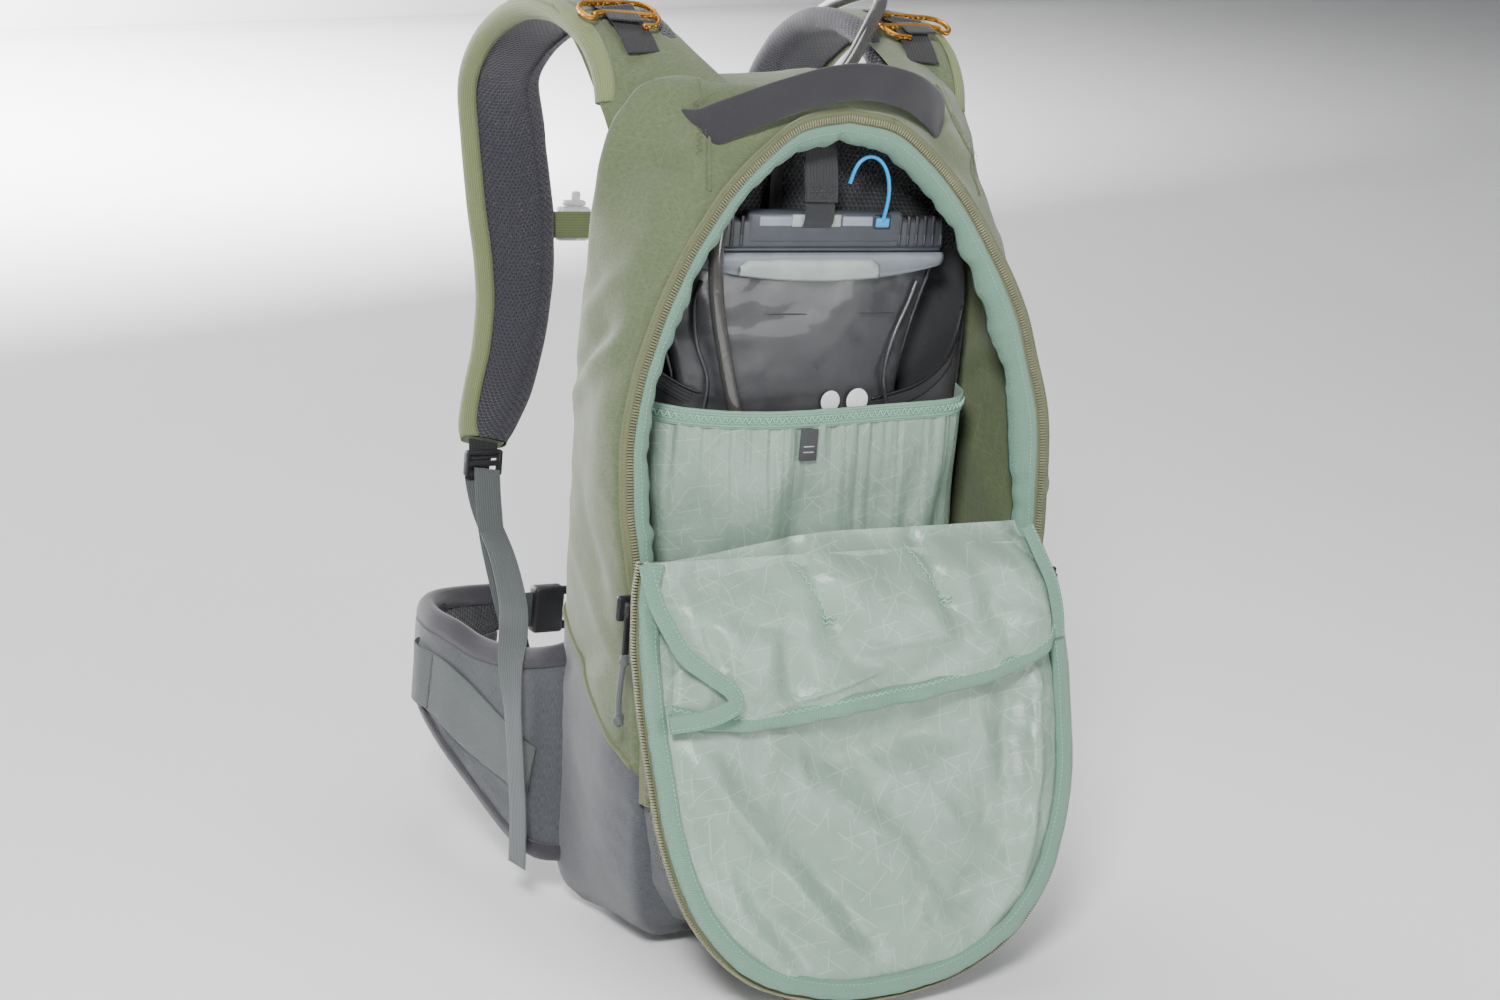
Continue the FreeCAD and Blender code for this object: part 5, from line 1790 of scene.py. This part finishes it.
def swell(piece, y_low):
    """Remeshes a closed pad and lets cloth simulation with pressure fill it, sewn down at its back."""
    remesh = piece.modifiers.new("remesh", "REMESH")
    remesh.mode = "VOXEL"
    remesh.voxel_size = PAD_VOXEL_M
    mesh = evaluated_mesh(piece)
    piece.modifiers.clear()
    piece.data = mesh
    sewn = piece.vertex_groups.new(name="sewn")
    sewn.add([v.index for v in mesh.vertices if v.co.y < (y_low + 1.5) * MM], 1.0, "REPLACE")
    cloth = piece.modifiers.new("swell", "CLOTH")
    cloth.settings.quality = 5
    cloth.settings.vertex_group_mass = "sewn"
    cloth.settings.use_pressure = True
    cloth.settings.uniform_pressure_force = SWELL_PRESSURE
    cloth.settings.effector_weights.gravity = 0
    for frame_number in range(1, SWELL_FRAMES + 1):
        bpy.context.scene.frame_set(frame_number)
    swollen = evaluated_mesh(piece)
    for v, moved in zip(mesh.vertices, swollen.vertices):
        step = moved.co - v.co
        v.co += step * min(1.0, SWELL_CAP * MM / max(step.length, 1e-9))
    piece.modifiers.clear()
    bpy.context.scene.frame_set(1)
    mesh.update()


def sew_channels(piece, y_low, grooves):
    """Presses the sewn channels into a pad and lays cloth coordinates and smoothing on it."""
    mesh = piece.data
    for v in mesh.vertices:
        _, y, z = arr(v.co) / MM
        groove = sum(math.exp(-((z - at) / 3.4) ** 2) for at in grooves)
        v.co.y = (y_low + max(y - y_low, 0) * (1 - 0.34 * min(groove, 1.0))) * MM
    layer = mesh.uv_layers.new(name="cloth")
    for loop in mesh.loops:
        co = mesh.vertices[loop.vertex_index].co
        layer.data[loop.index].uv = (co.x, co.z)
    shade_smooth(mesh)
    smooth = piece.modifiers.new("smooth cloth", "SUBSURF")
    smooth.levels = smooth.render_levels = 1


def pad(name, x_range, z_range, y_high, node, grooves):
    """Foam pad: a crowned closed form, swollen like filled fabric, pinched along its sewn channels."""
    cols, rows = 44, 72
    y_low = PAD_BACK_Y
    mid_x, mid_z = sum(x_range) / 2, sum(z_range) / 2
    half_x, half_z = (x_range[1] - x_range[0]) / 2, (z_range[1] - z_range[0]) / 2
    front, back = [], []
    for b in np.linspace(-1, 1, rows):
        front_row, back_row = [], []
        for a in np.linspace(-1, 1, cols):
            squeeze = 1 - 0.10 * (abs(a) * abs(b)) ** 8
            x, z = mid_x + a * half_x * squeeze, mid_z + b * half_z * squeeze
            crown = max(1 - abs(a) ** 6 - abs(b) ** 12, 0) ** 0.4
            y = y_low + (y_high - y_low) * crown + 0.8 * crown * wobble((x, 0, z), 30, 5.0)
            front_row.append((x, y, z))
            back_row.append((x, y_low, z))
        front.append(front_row)
        back.append(back_row)
    verts = np.concatenate([arr(front).reshape(-1, 3), arr(back).reshape(-1, 3)])
    shift = rows * cols
    faces = grid_faces(rows, cols, flip=True)
    faces += [tuple(i + shift for i in f) for f in grid_faces(rows, cols)]
    piece = mesh_from(name, verts, faces, "slate_mesh", "bag")
    bm = welded(piece.data, 0.00005)
    bm.to_mesh(piece.data)
    bm.free()
    swell(piece, y_low)
    sew_channels(piece, y_low, grooves)
    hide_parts(node)


def back_side():
    z = np.linspace(26, 486, 60)
    half = np.interp(z, [26, 200, 440, 486], [114, 122, 122, 104])
    panel_rows = [[(a * h, 49.2 + 1.2 * (1 - a * a) + 0.6 * wobble((a * h, 0, k), 40, 2.0), k)
                   for a in np.linspace(-1, 1, 40)] for k, h in zip(z, half)]
    panel = grid("back_cloth", panel_rows, "slate_mesh", "bag", thick=1.0)
    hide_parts("back_panel")
    rim = [(-h, 49.4, k) for k, h in zip(z, half)] + [(h, 49.4, k) for k, h in zip(z[::-1], half[::-1])]
    piping("back_edge", arr(rim), 1.8, "slate", "bag")
    seams = (262, 340, 412)
    pad("back_pad_left", (-110, -17), (184, 470), 64, "back_pads", seams)
    pad("back_pad_right", (17, 110), (184, 470), 64, "back_pads", seams)
    pad("lumbar_cushion", (-106, 106), (42, 170), 68, "lumbar_pad", (106,))
    core = rounded_block("protector_foam", (-103, 33.5, 31), (103, 39.5, 469), 2.5, "foam",
                         "bag")
    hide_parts("protector_plate")
    clip_low, clip_high = node_box("hose_clip")
    clip = rounded_block("hose_clip_body", clip_low, clip_high, 2.0, "black", "strap_right")
    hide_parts("hose_clip")


# ---- stage -------------------------------------------------------------------
def backdrop():
    """Pale floor that curves up behind the object, as in a studio."""
    profile = [(-5.0, 0.0), (3.2, 0.0), (3.9, 0.12), (4.5, 0.5), (4.9, 1.1), (5.0, 2.0), (5.0, 8.0)]
    line = spline([(0, y / MM, z / MM) for y, z in profile], 60)
    turn = math.radians(30)
    ahead, aside = arr([-math.sin(turn), math.cos(turn), 0]), arr([math.cos(turn), math.sin(turn), 0])
    rows = [[ahead * p[1] + aside * x / MM + UP * p[2] for x in (-20, 0, 20)] for p in line]
    mesh = bpy.data.meshes.new("floor")
    mesh.from_pydata([tuple(v * MM) for v in arr(rows).reshape(-1, 3)], [], grid_faces(60, 3))
    shade_smooth(mesh)
    floor = in_scene("floor", mesh)
    s = Shader("pale floor")
    tone = s.noise(s.scaled(s.coords(False), (3, 3, 3)), 1.0, 2.0)
    mesh.materials.append(s.finish(s.blend(tone, (0.87, 0.87, 0.87), (0.90, 0.90, 0.90)), 0.9))


# Lamps, in metres and watts: name, place, where it points, size, power.
MIDDLE_M = (0, 0, 0.27)
BACKDROP_M = (-1.0, 5.0, 1.0)
LAMPS = [
    ("key", (-1.3, -1.6, 1.6), MIDDLE_M, 0.45, 74), ("front", (0.8, -2.1, 0.9), MIDDLE_M, 0.8, 22),
    ("top", (0.1, 0.4, 2.2), MIDDLE_M, 0.8, 14), ("back", (0, 3.0, 2.2), BACKDROP_M, 2.5, 800),
]
WORLD_COLOR = (0.95, 0.97, 1.0, 1)
WORLD_STRENGTH = 0.22


def stage():
    backdrop()
    world = bpy.data.worlds.new("studio")
    world.use_nodes = True
    background = world.node_tree.nodes["Background"]
    background.inputs["Color"].default_value = WORLD_COLOR
    background.inputs["Strength"].default_value = WORLD_STRENGTH
    bpy.context.scene.world = world
    for name, place, aim, size, power in LAMPS:
        light = bpy.data.lights.new(name, "AREA")
        light.energy = power
        light.size = size
        lamp = in_scene(name, light)
        lamp.location = place
        lamp.rotation_euler = (Vector(aim) - Vector(place)).to_track_quat("-Z", "Y").to_euler()


CAMERA_AZIMUTH, CAMERA_ELEVATION, CAMERA_ROLL = -30.0, 14.0, 5.0
CAMERA_DISTANCE_M = 1.70
CAMERA_TARGET_M = (-0.033, 0.0, 0.263)
CAMERA_LENS = 67.3


def camera():
    a, e, r = (math.radians(v) for v in (CAMERA_AZIMUTH, CAMERA_ELEVATION, CAMERA_ROLL))
    back = Vector((math.sin(a) * math.cos(e), -math.cos(a) * math.cos(e), math.sin(e)))
    right = Vector((math.cos(a), math.sin(a), 0))
    up = back.cross(right)
    turned = right * math.cos(r) + up * math.sin(r)
    upright = up * math.cos(r) - right * math.sin(r)
    data = bpy.data.cameras.new("photo view")
    data.lens = CAMERA_LENS
    data.sensor_width = 36.0
    obj = in_scene("photo view", data)
    rotation = Matrix((turned, upright, back)).transposed().to_4x4()
    obj.matrix_world = Matrix.Translation(Vector(CAMERA_TARGET_M) + back * CAMERA_DISTANCE_M) @ rotation
    bpy.context.scene.camera = obj


camera()
stage()
upper_shell = outer_bag()
body_seams(upper_shell)
bag_inside()
zip_edge()
flap_pieces()
upper_pocket()
pocket_bindings()
fold_over()
drink_hose()
tether()
zip_pulls()
elastic_pocket()
sleeve()
bladder()
closure()
front_pocket()
carry_handle()
for each in ("left", "right"):
    shoulder_strap(each)
    shoulder_yoke(each, upper_shell)
    lifter(each)
    ladder_lock(each)
    lower_webbing(each)
    sternum(each)
    belt_wing(each)
    belt_band(each)
belt_buckle()
back_side()
